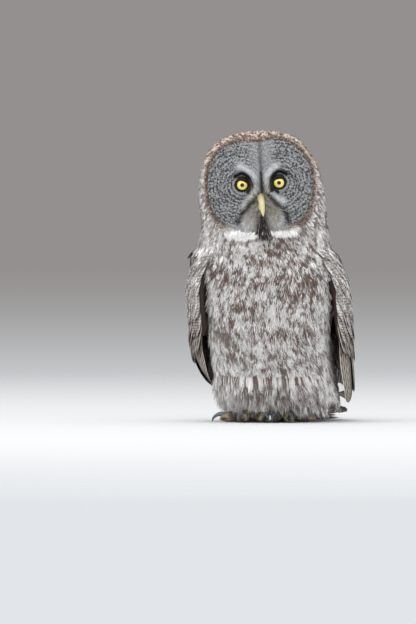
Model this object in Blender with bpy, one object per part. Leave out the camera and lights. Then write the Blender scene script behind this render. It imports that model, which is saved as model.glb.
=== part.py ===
"""Great grey owl, life size, standing on a floor with its face to the front.

Lengths are millimetres, and become metres where a mesh is made. The owl faces -Y, its own left
side is at +X, and it stands on z = 0. The body is one stack of sections, parted by thin cuts.
Wings, tail and the feathers below the tail are pads with vanes that are fused to them.
"""

import math
from dataclasses import dataclass

import bmesh
import bpy
import numpy as np

MM = 0.001
GAP = 0.3
FRAME_SHIFT = (-4.0, -100.0)

BODY_SIDES = 28
BODY_POWER = 2.3
END_RING = 0.35


@dataclass(frozen=True)
class Section:
    """One level of the body: its height, its sides, its front and back, and its turn."""

    z: float
    x_min: float
    x_max: float
    front: float
    back: float
    yaw: float


VENT = Section(14.0, 20.0, 97.0, 52.0, 113.0, 30.0)
CROWN = Section(421.0, -32.0, 14.0, -1.0, 22.0, 0.0)
BODY = (
    VENT,
    Section(21.0, -14.0, 106.0, 28.0, 118.0, 30.0),
    Section(29.0, -62.0, 106.0, -26.0, 117.0, 28.0),
    Section(43.0, -73.0, 104.0, -54.0, 113.0, 26.0),
    Section(64.0, -80.0, 100.0, -76.0, 108.0, 22.0),
    Section(97.0, -88.0, 96.0, -87.0, 101.0, 18.0),
    Section(142.0, -98.0, 101.0, -92.0, 96.0, 14.0),
    Section(193.0, -104.0, 105.0, -88.0, 92.0, 10.0),
    Section(222.0, -108.0, 104.0, -81.0, 89.0, 7.0),
    Section(237.0, -108.0, 100.0, -77.0, 88.0, 5.0),
    Section(250.0, -105.0, 94.0, -73.0, 86.0, 3.0),
    Section(269.0, -99.0, 90.5, -69.0, 84.0, 0.0),
    Section(289.0, -96.0, 87.0, -67.0, 85.0, 0.0),
    Section(305.0, -98.6, 85.5, -66.0, 88.0, 0.0),
    Section(331.0, -101.0, 83.0, -62.0, 90.0, 0.0),
    Section(351.0, -100.0, 78.7, -59.0, 87.0, 0.0),
    Section(371.5, -96.0, 72.2, -54.0, 81.0, 0.0),
    Section(387.5, -89.2, 63.1, -46.0, 72.0, 0.0),
    Section(402.0, -78.3, 52.2, -35.0, 60.0, 0.0),
    Section(413.5, -60.9, 40.6, -20.0, 44.0, 0.0),
    Section(418.8, -45.0, 26.0, -9.0, 32.0, 0.0),
    CROWN,
)
BELLY_TOP = 84.0
BREAST_TOP = 236.0
NECK_TOP = 271.0
BACK_PLANE = 22.0

DISC_CENTRE = (-11.6, 342.5)
DISC_HALF_WIDTH = 77.5
DISC_UP = 69.5
DISC_DOWN = 66.0
DISC_POWER = 2.45
DISC_NOTCH = 5.0
DISC_NOTCH_ANGLE = 14.0
DISC_SIDES = 30
DISC_STEPS = (0.2, 0.45, 0.68, 0.87, 1.0)
DISC_RIM = 1.2
DISC_HOLLOW = 7.0
DISC_RIDGE = 5.0
DISC_RIDGE_WIDTH = 9.0
DISC_THICKNESS = 11.0
DISC_RIM_THICKNESS = 2.0
DISC_PUSH = 40.0
HEAD_ROLL = 3.6

EYE_RADIUS = 11.5
EYE_CENTRES = {"right": (-37.6, 343.4), "left": (15.5, 346.7)}
EYE_PROUD = 3.5
LID_THICKNESS = 2.0
LID_SIDE_ANGLE = 41.0
LID_UP_ANGLE = 33.0
LID_DOWN_ANGLE = 37.0
LID_BACK_ANGLE = 98.0
LID_SIDES = 18

UPPER_BILL = (
    (-11.0, -53.0, 325.5, 5.4, 7.0),
    (-10.7, -63.0, 324.4, 4.9, 6.0),
    (-9.9, -72.2, 319.8, 4.5, 5.2),
    (-8.9, -79.0, 312.5, 3.8, 4.1),
    (-8.0, -81.0, 303.6, 2.3, 2.6),
    (-7.4, -79.0, 298.2, 0.5, 0.6),
)
LOWER_BILL = (
    (-10.6, -54.0, 316.0, 4.4, 3.4),
    (-10.2, -64.0, 313.0, 4.2, 3.0),
    (-9.4, -71.5, 308.5, 3.2, 2.2),
    (-8.8, -75.0, 304.5, 0.6, 0.6),
)
NOSTRIL_OFFSET = 4.4
NOSTRIL_PLACE = (-10.4, -68.5, 324.0)
NOSTRIL_SIZE = (1.3, 2.1, 1.5)


@dataclass(frozen=True)
class Foot:
    """A leg and its foot: leg rings of z, x, y and radii, the foot's middle and its toes."""

    leg: tuple
    middle: tuple
    toes: tuple


FEET = {
    "right": Foot(
        leg=(
            (52.0, -35.0, 4.0, 36.0, 34.0),
            (28.0, -34.0, 2.0, 31.0, 29.0),
            (14.0, -32.0, 1.0, 24.0, 23.0),
            (6.4, -27.0, -1.0, 17.0, 18.0),
        ),
        middle=(-23.0, -4.0),
        toes=((-20.0, 42.0), (22.0, 43.0), (-72.0, 40.0), (172.0, 24.0)),
    ),
    "left": Foot(
        leg=(
            (52.0, 39.0, 8.0, 35.0, 34.0),
            (28.0, 36.0, 6.0, 30.0, 29.0),
            (14.0, 33.0, 4.0, 23.0, 23.0),
            (6.4, 27.0, 1.0, 17.0, 18.0),
        ),
        middle=(22.0, -2.0),
        toes=((-15.0, 43.0), (11.0, 45.0), (72.0, 42.0), (186.0, 24.0)),
    ),
}
TOE_RADII = (10.0, 9.0, 8.2, 4.5)
TOE_HEIGHTS = (9.0, 9.5, 8.0, 7.5)
PAD_RADIUS = 17.0
PAD_HEIGHT = 11.5
PAD_MIDDLE = 5.0
TOE_END = 4.0
CLAW_NARROWING = 0.85
CLAW_PATH = ((-4.0, 9.5), (5.0, 12.0), (13.0, 11.0), (19.0, 6.5), (21.0, 1.0))
CLAW_RADII = (3.6, 3.4, 2.7, 1.7, 0.5)

WING_STEPS = (0.0, 0.13, 0.27, 0.42, 0.60, 0.79, 1.0)
WINGS = {
    "left": {
        "lead": (
            (70.0, -46.0, 244.0),
            (90.0, -60.0, 198.0),
            (96.0, -54.0, 145.0),
            (104.0, -34.0, 90.0),
            (113.0, 26.0, 36.0),
            (113.0, 118.0, 21.0),
            (104.0, 222.0, 24.0),
        ),
        "middle": (
            (86.0, 6.0, 246.0),
            (109.0, 10.0, 199.0),
            (114.0, 18.0, 146.0),
            (117.0, 38.0, 94.0),
            (117.0, 84.0, 50.0),
            (110.0, 150.0, 36.0),
            (99.0, 226.0, 29.0),
        ),
        "trail": (
            (62.0, 60.0, 246.0),
            (76.0, 80.0, 200.0),
            (78.0, 94.0, 148.0),
            (82.0, 108.0, 102.0),
            (88.0, 136.0, 70.0),
            (88.0, 178.0, 50.0),
            (86.0, 230.0, 33.0),
        ),
    },
    "right": {
        "lead": (
            (-78.0, -44.0, 244.0),
            (-94.0, -56.0, 198.0),
            (-92.0, -50.0, 145.0),
            (-93.0, -26.0, 94.0),
            (-72.0, 34.0, 46.0),
            (-4.0, 128.0, 20.0),
            (45.0, 222.0, 24.0),
        ),
        "middle": (
            (-92.0, 6.0, 246.0),
            (-109.0, 10.0, 199.0),
            (-106.0, 18.0, 146.0),
            (-100.0, 38.0, 94.0),
            (-62.0, 86.0, 60.0),
            (2.0, 152.0, 38.0),
            (51.0, 226.0, 29.0),
        ),
        "trail": (
            (-70.0, 60.0, 246.0),
            (-82.0, 78.0, 200.0),
            (-80.0, 90.0, 150.0),
            (-66.0, 108.0, 106.0),
            (-28.0, 128.0, 80.0),
            (18.0, 174.0, 54.0),
            (60.0, 230.0, 33.0),
        ),
    },
}
WING_PAD_END = 0.34
WING_PAD_ROWS = 6
WING_PAD_COLUMNS = 8
WING_PAD_HEIGHT = 6.0
WING_PAD_DEPTH = 14.0
PAD_SWELL = 6.0
PAD_START = 0.25
PAD_RISE = 4.0
PAD_THINNING = 0.35
PAD_LAST = 0.6
PAD_EDGE = 0.3
PAD_FILL = 5.0
WING_LEVELS = (0.42, 0.54, 0.66, 0.78, 0.89)
WING_TIP_STEPS = (0.05, 0.016, 0.0)
WING_TIP_SCATTER = 0.006


@dataclass(frozen=True)
class Tier:
    """One tier of vanes: count, places of roots and tips on the wing, sizes and lift."""

    count: int
    roots: tuple
    root_spread: tuple
    tips: tuple
    tip_spread: tuple
    half_width: float
    thickness: float
    lift: tuple
    pitch: float
    slope: float
    columns: tuple


WIDE = (-1.0, 0.0, 1.0)
FLAT = (-1.0, 1.0)
WING_TIERS = {
    "primaries": Tier(
        count=7,
        roots=(0.29, 0.27),
        root_spread=(0.07, 0.40),
        tips=(0.68, 1.0),
        tip_spread=(0.06, 0.55),
        half_width=11.0,
        thickness=0.65,
        lift=(0.8, 0.8),
        pitch=1.0,
        slope=-0.10,
        columns=WIDE,
    ),
    "secondaries": Tier(
        count=7,
        roots=(0.28, 0.22),
        root_spread=(0.36, 0.88),
        tips=(0.62, 0.82),
        tip_spread=(0.34, 0.98),
        half_width=13.5,
        thickness=0.65,
        lift=(3.2, 7.2),
        pitch=0.35,
        slope=-0.10,
        columns=WIDE,
    ),
    "greater coverts": Tier(
        count=9,
        roots=(0.24, 0.20),
        root_spread=(0.07, 0.93),
        tips=(0.40, 0.48),
        tip_spread=(0.08, 0.94),
        half_width=11.5,
        thickness=0.7,
        lift=(3.2, 8.4),
        pitch=0.0,
        slope=-0.12,
        columns=FLAT,
    ),
    "median coverts": Tier(
        count=8,
        roots=(0.12, 0.09),
        root_spread=(0.10, 0.90),
        tips=(0.29, 0.32),
        tip_spread=(0.10, 0.90),
        half_width=12.0,
        thickness=0.7,
        lift=(3.6, 9.6),
        pitch=0.0,
        slope=-0.12,
        columns=FLAT,
    ),
}
SHORT_STEPS = ((0.0, 0.6), (0.5, 1.0), (0.84, 0.86), (1.0, 0.25))
VANE_FULL = 0.45
VANE_ROUNDING = 0.22
VANE_TIP = 0.22
WING_SEED = 11

RUMP = (
    (34.0, 66.0, 58.0, 72.0, 46.0),
    (43.0, 98.0, 50.0, 61.0, 40.0),
    (54.0, 130.0, 34.0, 44.0, 27.0),
    (63.0, 158.0, 22.0, 31.0, 16.0),
)

TAIL_PATH = (
    (60.0, 120.0, 38.0),
    (64.0, 142.0, 27.0),
    (68.0, 168.0, 12.0),
    (73.0, 204.0, 1.5),
    (79.0, 250.0, 0.0),
    (85.0, 296.0, 0.0),
)
ROOT_SPREAD = 0.35
TAIL_COUNT = 12
TAIL_HALF_WIDTH = 15.5
TAIL_FAN = 12.0
TAIL_MIDDLE_OFFSET = 1.5
TAIL_THICKNESS = 0.7
TAIL_PITCH = 1.05
TAIL_STEP_BACK = 0.05
TAIL_LEVELS = (0.33, 0.46, 0.58, 0.70, 0.80)
TAIL_TIP_STEPS = (0.06, 0.02, 0.0)
TAIL_PAD_START = 0.24
TAIL_PAD_END = 0.43
TAIL_PAD_HALF_WIDTH = 25.0
TAIL_PAD_HEIGHTS = (-2.0, 16.5)
TAIL_PAD_TAPER = 0.85
UPPERTAIL_COUNT = 5
UPPERTAIL_SPREAD = 16.0
UPPERTAIL_HALF_WIDTH = 9.0
UPPERTAIL_LIFT = 12.7
UPPERTAIL_RISE = 2.4
UPPERTAIL_PITCH = 0.25
UPPERTAIL_REACH = (0.36, 0.66)

UNDERTAIL_PATH = (
    (60.0, 138.0, 9.5),
    (64.0, 154.0, 8.0),
    (68.0, 170.0, 5.0),
    (71.0, 184.0, 2.0),
)
UNDERTAIL_COUNT = 7
UNDERTAIL_SPREAD = 22.0
UNDERTAIL_HALF_WIDTH = 7.0
UNDERTAIL_PITCH = 0.15
UNDERTAIL_THICKNESS = 0.8
UNDERTAIL_START = 0.3
UNDERTAIL_STEP_BACK = 0.0012
UNDERTAIL_PAD_END = 0.55
UNDERTAIL_PAD_HALF_WIDTH = 25.0
UNDERTAIL_PAD_HEIGHTS = (-4.5, 3.5)
UNDERTAIL_PAD_TAPER = 0.8


def sign_power(value, power):
    """The value's size to a power, with its sign kept."""
    return np.sign(value) * np.abs(value) ** power


def object_from(name, points, faces):
    """A mesh object of points in millimetres, with its faces turned outward."""
    mesh = bpy.data.meshes.new(name)
    mesh.from_pydata([tuple(point) for point in np.asarray(points) * MM], [], faces)
    work = bmesh.new()
    work.from_mesh(mesh)
    bmesh.ops.recalc_face_normals(work, faces=work.faces)
    work.to_mesh(mesh)
    work.free()
    made = bpy.data.objects.new(name, mesh)
    bpy.context.scene.collection.objects.link(made)
    return made


def stack(rings):
    """Points and triangles of a closed solid through rings of equal count, each end capped."""
    count = len(rings[0])
    points = np.concatenate([*rings, [np.mean(rings[0], axis=0)], [np.mean(rings[-1], axis=0)]])
    first_cap = len(rings) * count
    last_cap = first_cap + 1
    faces = []
    for level in range(len(rings) - 1):
        for side in range(count):
            after = (side + 1) % count
            low = level * count
            high = low + count
            faces.append((low + side, low + after, high + after))
            faces.append((low + side, high + after, high + side))
    top = (len(rings) - 1) * count
    for side in range(count):
        after = (side + 1) % count
        faces.append((after, side, first_cap))
        faces.append((top + side, top + after, last_cap))
    return points, faces


def apply_modifiers(target):
    """Replaces an object's mesh by the mesh that its modifiers make."""
    graph = bpy.context.evaluated_depsgraph_get()
    made = bpy.data.meshes.new_from_object(target.evaluated_get(graph))
    target.modifiers.clear()
    target.data = made


def remove(objects):
    """Removes helper objects from the file."""
    for helper in list(objects):
        bpy.data.objects.remove(helper)


def cut(target, cutter, keep_cutter=False, solver="EXACT"):
    """Takes the cutter's shape out of the target."""
    modifier = target.modifiers.new("cut", "BOOLEAN")
    modifier.operation = "DIFFERENCE"
    modifier.object = cutter
    modifier.solver = solver
    apply_modifiers(target)
    if not keep_cutter:
        remove([cutter])


def fuse(target, pieces, solver="EXACT"):
    """Joins closed pieces to the target in one union."""
    group = bpy.data.collections.new("pieces")
    bpy.context.scene.collection.children.link(group)
    for piece in pieces:
        bpy.context.scene.collection.objects.unlink(piece)
        group.objects.link(piece)
    modifier = target.modifiers.new("union", "BOOLEAN")
    modifier.operation = "UNION"
    modifier.operand_type = "COLLECTION"
    modifier.collection = group
    modifier.solver = solver
    apply_modifiers(target)
    remove(group.objects)
    bpy.data.collections.remove(group)


def keep_largest(target):
    """Keeps only the closed surface with the largest volume."""
    work = bmesh.new()
    work.from_mesh(target.data)
    unseen = set(work.verts)
    surfaces = []
    while unseen:
        start = unseen.pop()
        found = {start}
        edge = [start]
        while edge:
            vertex = edge.pop()
            for link in vertex.link_edges:
                other = link.other_vert(vertex)
                if other not in found:
                    found.add(other)
                    edge.append(other)
        unseen -= found
        surfaces.append(found)

    def volume(vertices):
        faces = {face for vertex in vertices for face in vertex.link_faces}
        total = 0.0
        for face in faces:
            corners = [loop.vert.co for loop in face.loops]
            for index in range(1, len(corners) - 1):
                total += corners[0].dot(corners[index].cross(corners[index + 1]))
        return total

    surfaces.sort(key=volume)
    spare = [vertex for found in surfaces[:-1] for vertex in found]
    bmesh.ops.delete(work, geom=spare, context="VERTS")
    work.to_mesh(target.data)
    work.free()


def body_ring(level, grow=0.0):
    """One section's ring: a rounded oblong, turned by its yaw and fitted to its sides."""
    angles = np.linspace(0.0, 2.0 * math.pi, BODY_SIDES, endpoint=False)
    half_width = (level.x_max - level.x_min) / 2.0 + grow
    half_depth = (level.back - level.front) / 2.0 + grow
    across = half_width * sign_power(np.cos(angles), 2.0 / BODY_POWER)
    along = half_depth * sign_power(np.sin(angles), 2.0 / BODY_POWER)
    turn = math.radians(level.yaw)
    x = across * math.cos(turn) + along * math.sin(turn)
    y = along * math.cos(turn) - across * math.sin(turn)
    x *= half_width / np.abs(x).max()
    y *= half_depth / np.abs(y).max()
    middle_x = (level.x_min + level.x_max) / 2.0
    middle_y = (level.front + level.back) / 2.0
    return np.stack([x + middle_x, y + middle_y, np.full_like(x, level.z)], axis=1)


def body_level(z):
    """The body's section at any height, straight between the named ones."""
    heights = [level.z for level in BODY]
    fields = ("x_min", "x_max", "front", "back", "yaw")
    values = [np.interp(z, heights, [getattr(level, field) for level in BODY]) for field in fields]
    return Section(z, *values)


def body_band(name, bottom, top, grow=0.0):
    """The body between two heights, with half a gap off each cut."""
    cuts = [end + side for end in (BELLY_TOP, BREAST_TOP, NECK_TOP) for side in (-GAP / 2.0, GAP / 2.0)]
    heights = sorted([level.z for level in BODY] + cuts)
    inner = [body_level(z) for z in heights if bottom + GAP < z < top - GAP]
    ends = []
    for end, toward in ((bottom, 1.0), (top, -1.0)):
        shift = toward * (GAP / 2.0 - grow)
        ends.append(Section(end + shift, *list(vars(body_level(end)).values())[1:]))
    levels = [ends[0], *inner, ends[1]]
    return object_from(name, *stack([body_ring(level, grow) for level in levels]))


def body_front(x, z):
    """Depth of the unturned head's front at a place seen from the front."""
    level = body_level(z)
    middle = (level.x_min + level.x_max) / 2.0
    share = min(abs(x - middle) / ((level.x_max - level.x_min) / 2.0), 0.995)
    half_depth = (level.back - level.front) / 2.0
    reach = half_depth * (1.0 - share**BODY_POWER) ** (1.0 / BODY_POWER)
    return (level.front + level.back) / 2.0 - reach


def make_body():
    """Head, neck, breast, back and belly, as bands of the body's stack."""
    body_band("head", NECK_TOP, CROWN.z)
    body_band("neck", BREAST_TOP, NECK_TOP)
    body_band("belly", VENT.z, BELLY_TOP)
    for name, side in (("breast", 1.0), ("back", -1.0)):
        half = body_band(name, BELLY_TOP, BREAST_TOP)
        work = bmesh.new()
        work.from_mesh(half.data)
        bmesh.ops.bisect_plane(
            work,
            geom=[*work.verts, *work.edges, *work.faces],
            plane_co=(0.0, (BACK_PLANE - side * GAP / 2.0) * MM, 0.0),
            plane_no=(0.0, side, 0.0),
            clear_outer=True,
        )
        bmesh.ops.holes_fill(work, edges=work.edges)
        bmesh.ops.recalc_face_normals(work, faces=work.faces)
        work.to_mesh(half.data)
        work.free()


def body_cutter():
    """The whole body, grown by the gap, to cut other pieces clear of it."""
    return body_band("body_cutter", VENT.z, CROWN.z, grow=GAP + GAP / 2.0)


def disc_reach(angle):
    """Distance from the facial disc's middle to its edge at an angle from +X."""
    upright = abs(math.sin(angle))
    height = DISC_UP if math.sin(angle) > 0.0 else DISC_DOWN
    total = (abs(math.cos(angle)) / DISC_HALF_WIDTH) ** DISC_POWER + (upright / height) ** DISC_POWER
    from_top = math.degrees(angle) - 90.0
    notch = DISC_NOTCH * math.exp(-((from_top / DISC_NOTCH_ANGLE) ** 2))
    return total ** (-1.0 / DISC_POWER) - notch


def face_depth(x, z, share):
    """Depth of the face: the head's front, hollowed inside the disc, with a ridge at its middle."""
    roll = math.radians(HEAD_ROLL)
    off_middle = (x - DISC_CENTRE[0]) * math.cos(roll) + (z - DISC_CENTRE[1]) * math.sin(roll)
    hollow = DISC_HOLLOW * (1.0 - share**4)
    ridge = DISC_RIDGE * math.exp(-((off_middle / DISC_RIDGE_WIDTH) ** 2)) * (1.0 - share**2)
    return body_front(x, z) - DISC_RIM + hollow - ridge


def disc_solid(name, grow=0.0, push=0.0):
    """The facial disc as a dished plate, or, grown and pushed forward, the pocket for it."""
    roll = math.radians(HEAD_ROLL)
    front = []
    back = []
    for share in DISC_STEPS:
        front_ring = []
        back_ring = []
        for side in range(DISC_SIDES):
            angle = 2.0 * math.pi * side / DISC_SIDES
            reach = share * (disc_reach(angle) + grow)
            x = DISC_CENTRE[0] + reach * math.cos(angle + roll)
            z = DISC_CENTRE[1] + reach * math.sin(angle + roll)
            y = face_depth(x, z, share)
            thick = DISC_RIM_THICKNESS + DISC_THICKNESS * (1.0 - share**2)
            front_ring.append((x, y - push, z))
            back_ring.append((x, y + thick + grow, z))
        front.append(np.array(front_ring))
        back.append(np.array(back_ring))
    return object_from(name, *stack([*front, *reversed(back)]))


def ball(name, centre, radii, sides=14, levels=8):
    """A closed ball of rings around its Y axis, the first and last ring close to its ends."""
    rings = []
    for level in range(levels + 1):
        angle = math.pi * (level + END_RING) / (levels + 2.0 * END_RING)
        around = np.linspace(0.0, 2.0 * math.pi, sides, endpoint=False)
        x = centre[0] + radii[0] * math.sin(angle) * np.cos(around)
        y = np.full_like(x, centre[1] - radii[1] * math.cos(angle))
        z = centre[2] + radii[2] * math.sin(angle) * np.sin(around)
        rings.append(np.stack([x, y, z], axis=1))
    return object_from(name, *stack(rings))


def eye_centre(side):
    """Middle of an eyeball, a little proud of the face around it."""
    x, z = EYE_CENTRES[side]
    share = math.hypot(x - DISC_CENTRE[0], z - DISC_CENTRE[1]) / DISC_HALF_WIDTH
    return (x, face_depth(x, z, share) - EYE_PROUD + EYE_RADIUS, z)


def make_lids(side):
    """The lids of one eye: a round shell with an almond opening, cut clear of the eyeball."""
    centre = np.array(eye_centre(side))
    inner = EYE_RADIUS - LID_THICKNESS / 2.0
    outer = EYE_RADIUS + GAP + LID_THICKNESS
    sides = LID_SIDES
    rings = []
    section = [(inner, share) for share in (1.0, 0.5, 0.0)]
    section += [(outer, share) for share in (0.0, 0.5, 1.0)]
    for radius, share in section:
        ring = []
        for step in range(sides):
            around = 2.0 * math.pi * step / sides
            upright = LID_UP_ANGLE if math.sin(around) > 0.0 else LID_DOWN_ANGLE
            opening = math.hypot(math.cos(around) / LID_SIDE_ANGLE, math.sin(around) / upright) ** -1.0
            angle = math.radians(opening + (LID_BACK_ANGLE - opening) * share)
            turned = around - math.radians(HEAD_ROLL)
            flat = radius * math.sin(angle)
            ahead = -radius * math.cos(angle)
            ring.append(centre + (flat * math.cos(turned), ahead, flat * math.sin(turned)))
        rings.append(np.array(ring))
    points = np.concatenate(rings)
    faces = []
    for level in range(len(rings)):
        low = level * sides
        high = (level + 1) % len(rings) * sides
        for step in range(sides):
            after = (step + 1) % sides
            faces.append((low + step, low + after, high + after, high + step))
    lids = object_from(f"lids_{side}", points, faces)
    cut(lids, ball("eye_pocket", centre, (EYE_RADIUS + GAP,) * 3))
    keep_largest(lids)


def tube(name, path, sides=12, grow=0.0, extend=0.0, reach=0.0):
    """A tapering horn along a path of x, y, z and two half sizes, round in section."""
    path = np.array(path, float)
    tangents = np.gradient(path[:, :3], axis=0)
    tangents /= np.linalg.norm(tangents, axis=1, keepdims=True)
    places = path[:, :3].copy()
    places[0] -= tangents[0] * extend
    places[-1] += tangents[-1] * reach
    around = np.linspace(0.0, 2.0 * math.pi, sides, endpoint=False)
    first_side = np.cross(tangents[0], (0.0, 0.0, 1.0))
    first_side /= np.linalg.norm(first_side)
    rings = []
    for place, tangent, half in zip(places, tangents, path[:, 3:]):
        side = first_side - tangent * first_side.dot(tangent)
        side /= np.linalg.norm(side)
        up = np.cross(side, tangent)
        across = np.outer(np.cos(around) * (half[0] + grow), side)
        rings.append(place + across + np.outer(np.sin(around) * (half[1] + grow), up))
    return object_from(name, *stack(rings))


def make_face():
    """Disc, eyes, lids and bill, each seated in a pocket of the piece behind it."""
    head = bpy.data.objects["head"]
    cut(head, disc_solid("disc_pocket", grow=GAP, push=DISC_PUSH))
    disc = disc_solid("facial_disc")
    socket_radius = EYE_RADIUS + GAP + LID_THICKNESS + GAP
    for side in ("left", "right"):
        centre = eye_centre(side)
        ball(f"eye_{side}", centre, (EYE_RADIUS,) * 3)
        make_lids(side)
        socket = ball("socket", centre, (socket_radius + GAP,) * 3, sides=14, levels=8)
        cut(disc, socket, keep_cutter=True)
        cut(head, socket)
    upper = tube("bill_upper", UPPER_BILL)
    for side in (-1.0, 1.0):
        x, y, z = NOSTRIL_PLACE
        cut(upper, ball("nostril", (x + side * NOSTRIL_OFFSET, y, z), NOSTRIL_SIZE, 10, 6))
    lower = tube("bill_lower", LOWER_BILL)
    upper_pocket = tube("upper_pocket", UPPER_BILL, grow=GAP, extend=GAP)
    lower_pocket = tube("lower_pocket", LOWER_BILL, grow=GAP, extend=GAP)
    cut(lower, upper_pocket, keep_cutter=True)
    for target in (disc, head):
        cut(target, upper_pocket, keep_cutter=True)
        cut(target, lower_pocket, keep_cutter=True)
    remove([upper_pocket, lower_pocket])
    keep_largest(lower)
    keep_largest(disc)
    keep_largest(head)


def on_floor(target):
    """Flattens what would reach below the floor."""
    for vertex in target.data.vertices:
        vertex.co.z = max(vertex.co.z, 0.0)


def claw_tube(name, middle, toe, grow=0.0, extend=0.0):
    """A claw at a toe's end, curving forward and down toward the floor."""
    angle, length = toe
    forward = (math.sin(math.radians(angle)), -math.cos(math.radians(angle)))
    path = []
    for (ahead, height), radius in zip(CLAW_PATH, CLAW_RADII):
        reach = length + ahead
        x = middle[0] + forward[0] * reach
        y = middle[1] + forward[1] * reach
        path.append((x, y, height, radius * CLAW_NARROWING, radius))
    return tube(name, path, sides=8, grow=grow, extend=extend)


def make_foot(side, foot):
    """One foot of four feathered toes, its claws, and the leg above it."""
    middle = foot.middle
    pad_size = (PAD_RADIUS, PAD_RADIUS, PAD_HEIGHT - PAD_MIDDLE)
    pad = ball(f"foot_{side}", (*middle, PAD_MIDDLE), pad_size, 12, 5)
    on_floor(pad)
    toes = []
    for angle, length in foot.toes:
        forward = (math.sin(math.radians(angle)), -math.cos(math.radians(angle)))
        reaches = (0.0, length * 0.5, length * 0.92, length + TOE_END)
        path = [
            (middle[0] + forward[0] * reach, middle[1] + forward[1] * reach, height, radius, radius)
            for reach, height, radius in zip(reaches, TOE_HEIGHTS, TOE_RADII)
        ]
        toe = tube("toe", path, sides=8)
        on_floor(toe)
        toes.append(toe)
    fuse(pad, toes, "MANIFOLD")
    pockets = []
    for index, toe in enumerate(foot.toes):
        claw_tube(f"claw_{side}_{index + 1}", middle, toe)
        pocket = claw_tube("claw_pocket", middle, toe, grow=GAP, extend=GAP)
        cut(pad, pocket, keep_cutter=True, solver="MANIFOLD")
        pockets.append(pocket)
    rings = []
    grown = []
    around = np.linspace(0.0, 2.0 * math.pi, 20, endpoint=False)
    for z, x, y, wide, deep in foot.leg:
        for rings_to, grow in ((rings, 0.0), (grown, GAP)):
            ring_x = x + (wide + grow) * np.cos(around)
            ring_y = y + (deep + grow) * np.sin(around)
            rings_to.append(np.stack([ring_x, ring_y, np.full_like(ring_x, z)], axis=1))
    grown.append(grown[-1] - (0.0, 0.0, GAP))
    leg = object_from(f"leg_{side}", *stack(rings))
    cut(pad, object_from("leg_pocket", *stack(grown)), solver="MANIFOLD")
    keep_largest(pad)
    for pocket in pockets:
        cut(leg, pocket)
    return leg


class WingSurface:
    """The sheet that a folded wing's vanes lie on: along it from 0 to 1, across it from 0 to 1."""

    def __init__(self, side):
        guides = WINGS[side]
        self.guides = np.array([guides["lead"], guides["middle"], guides["trail"]])
        self.outward = -1.0 if side == "left" else 1.0

    def along(self, where):
        """The three guide points at a place along the wing, on a smooth curve."""
        steps = np.array(WING_STEPS)
        index = int(np.clip(np.searchsorted(steps, where) - 1, 0, len(steps) - 2))
        share = (where - steps[index]) / (steps[index + 1] - steps[index])
        before = self.guides[:, max(index - 1, 0)]
        start = self.guides[:, index]
        end = self.guides[:, index + 1]
        after = self.guides[:, min(index + 2, len(steps) - 1)]
        leave = (end - before) / 2.0
        arrive = (after - start) / 2.0
        cube = share**3
        square = share**2
        return (
            start * (2.0 * cube - 3.0 * square + 1.0)
            + leave * (cube - 2.0 * square + share)
            + end * (3.0 * square - 2.0 * cube)
            + arrive * (cube - square)
        )

    def place(self, where, across):
        """The point on the sheet."""
        lead, middle, trail = self.along(where)
        return (
            lead * (1.0 - across) * (1.0 - 2.0 * across)
            + middle * 4.0 * across * (1.0 - across)
            + trail * across * (2.0 * across - 1.0)
        )

    def normal(self, where, across):
        """The outward direction of the sheet."""
        step = 0.01
        ahead = self.place(where + step, across) - self.place(where - step, across)
        beside = self.place(where, across + step) - self.place(where, across - step)
        found = np.cross(beside, ahead) * self.outward
        return found / np.linalg.norm(found)

    def breadth(self, where):
        """Length of the sheet across, at a place along it."""
        places = [self.place(where, across) for across in (0.0, 0.25, 0.5, 0.75, 1.0)]
        return sum(np.linalg.norm(end - start) for start, end in zip(places, places[1:]))


def vane_solid(name, tops, bottoms):
    """A closed thin vane from rows of points on its two faces, split alike on both."""
    rows, columns, _ = tops.shape
    points = np.concatenate([tops.reshape(-1, 3), bottoms.reshape(-1, 3)])
    below = rows * columns
    faces = []
    for row in range(rows - 1):
        for column in range(columns - 1):
            corner = row * columns + column
            quad = (corner, corner + 1, corner + columns + 1, corner + columns)
            for a, b, c in ((0, 1, 2), (0, 2, 3)):
                faces.append((quad[a], quad[b], quad[c]))
                faces.append((below + quad[c], below + quad[b], below + quad[a]))
    edge = list(range(columns))
    edge += [row * columns + columns - 1 for row in range(1, rows)]
    edge += [(rows - 1) * columns + column for column in range(columns - 2, -1, -1)]
    edge += [row * columns for row in range(rows - 2, 0, -1)]
    for start, end in zip(edge, edge[1:] + edge[:1]):
        faces.append((start, below + start, below + end))
        faces.append((start, below + end, end))
    return object_from(name, points, faces)


def vane_width(step):
    """Share of its full half width that a long vane has at a step from its root to its tip."""
    rise = 0.5 + 0.5 * min(1.0, step / VANE_FULL)
    end = max(0.0, (step - 1.0 + VANE_ROUNDING) / VANE_ROUNDING)
    return rise * max(VANE_TIP, math.sqrt(max(0.0, 1.0 - end**2)))


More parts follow.
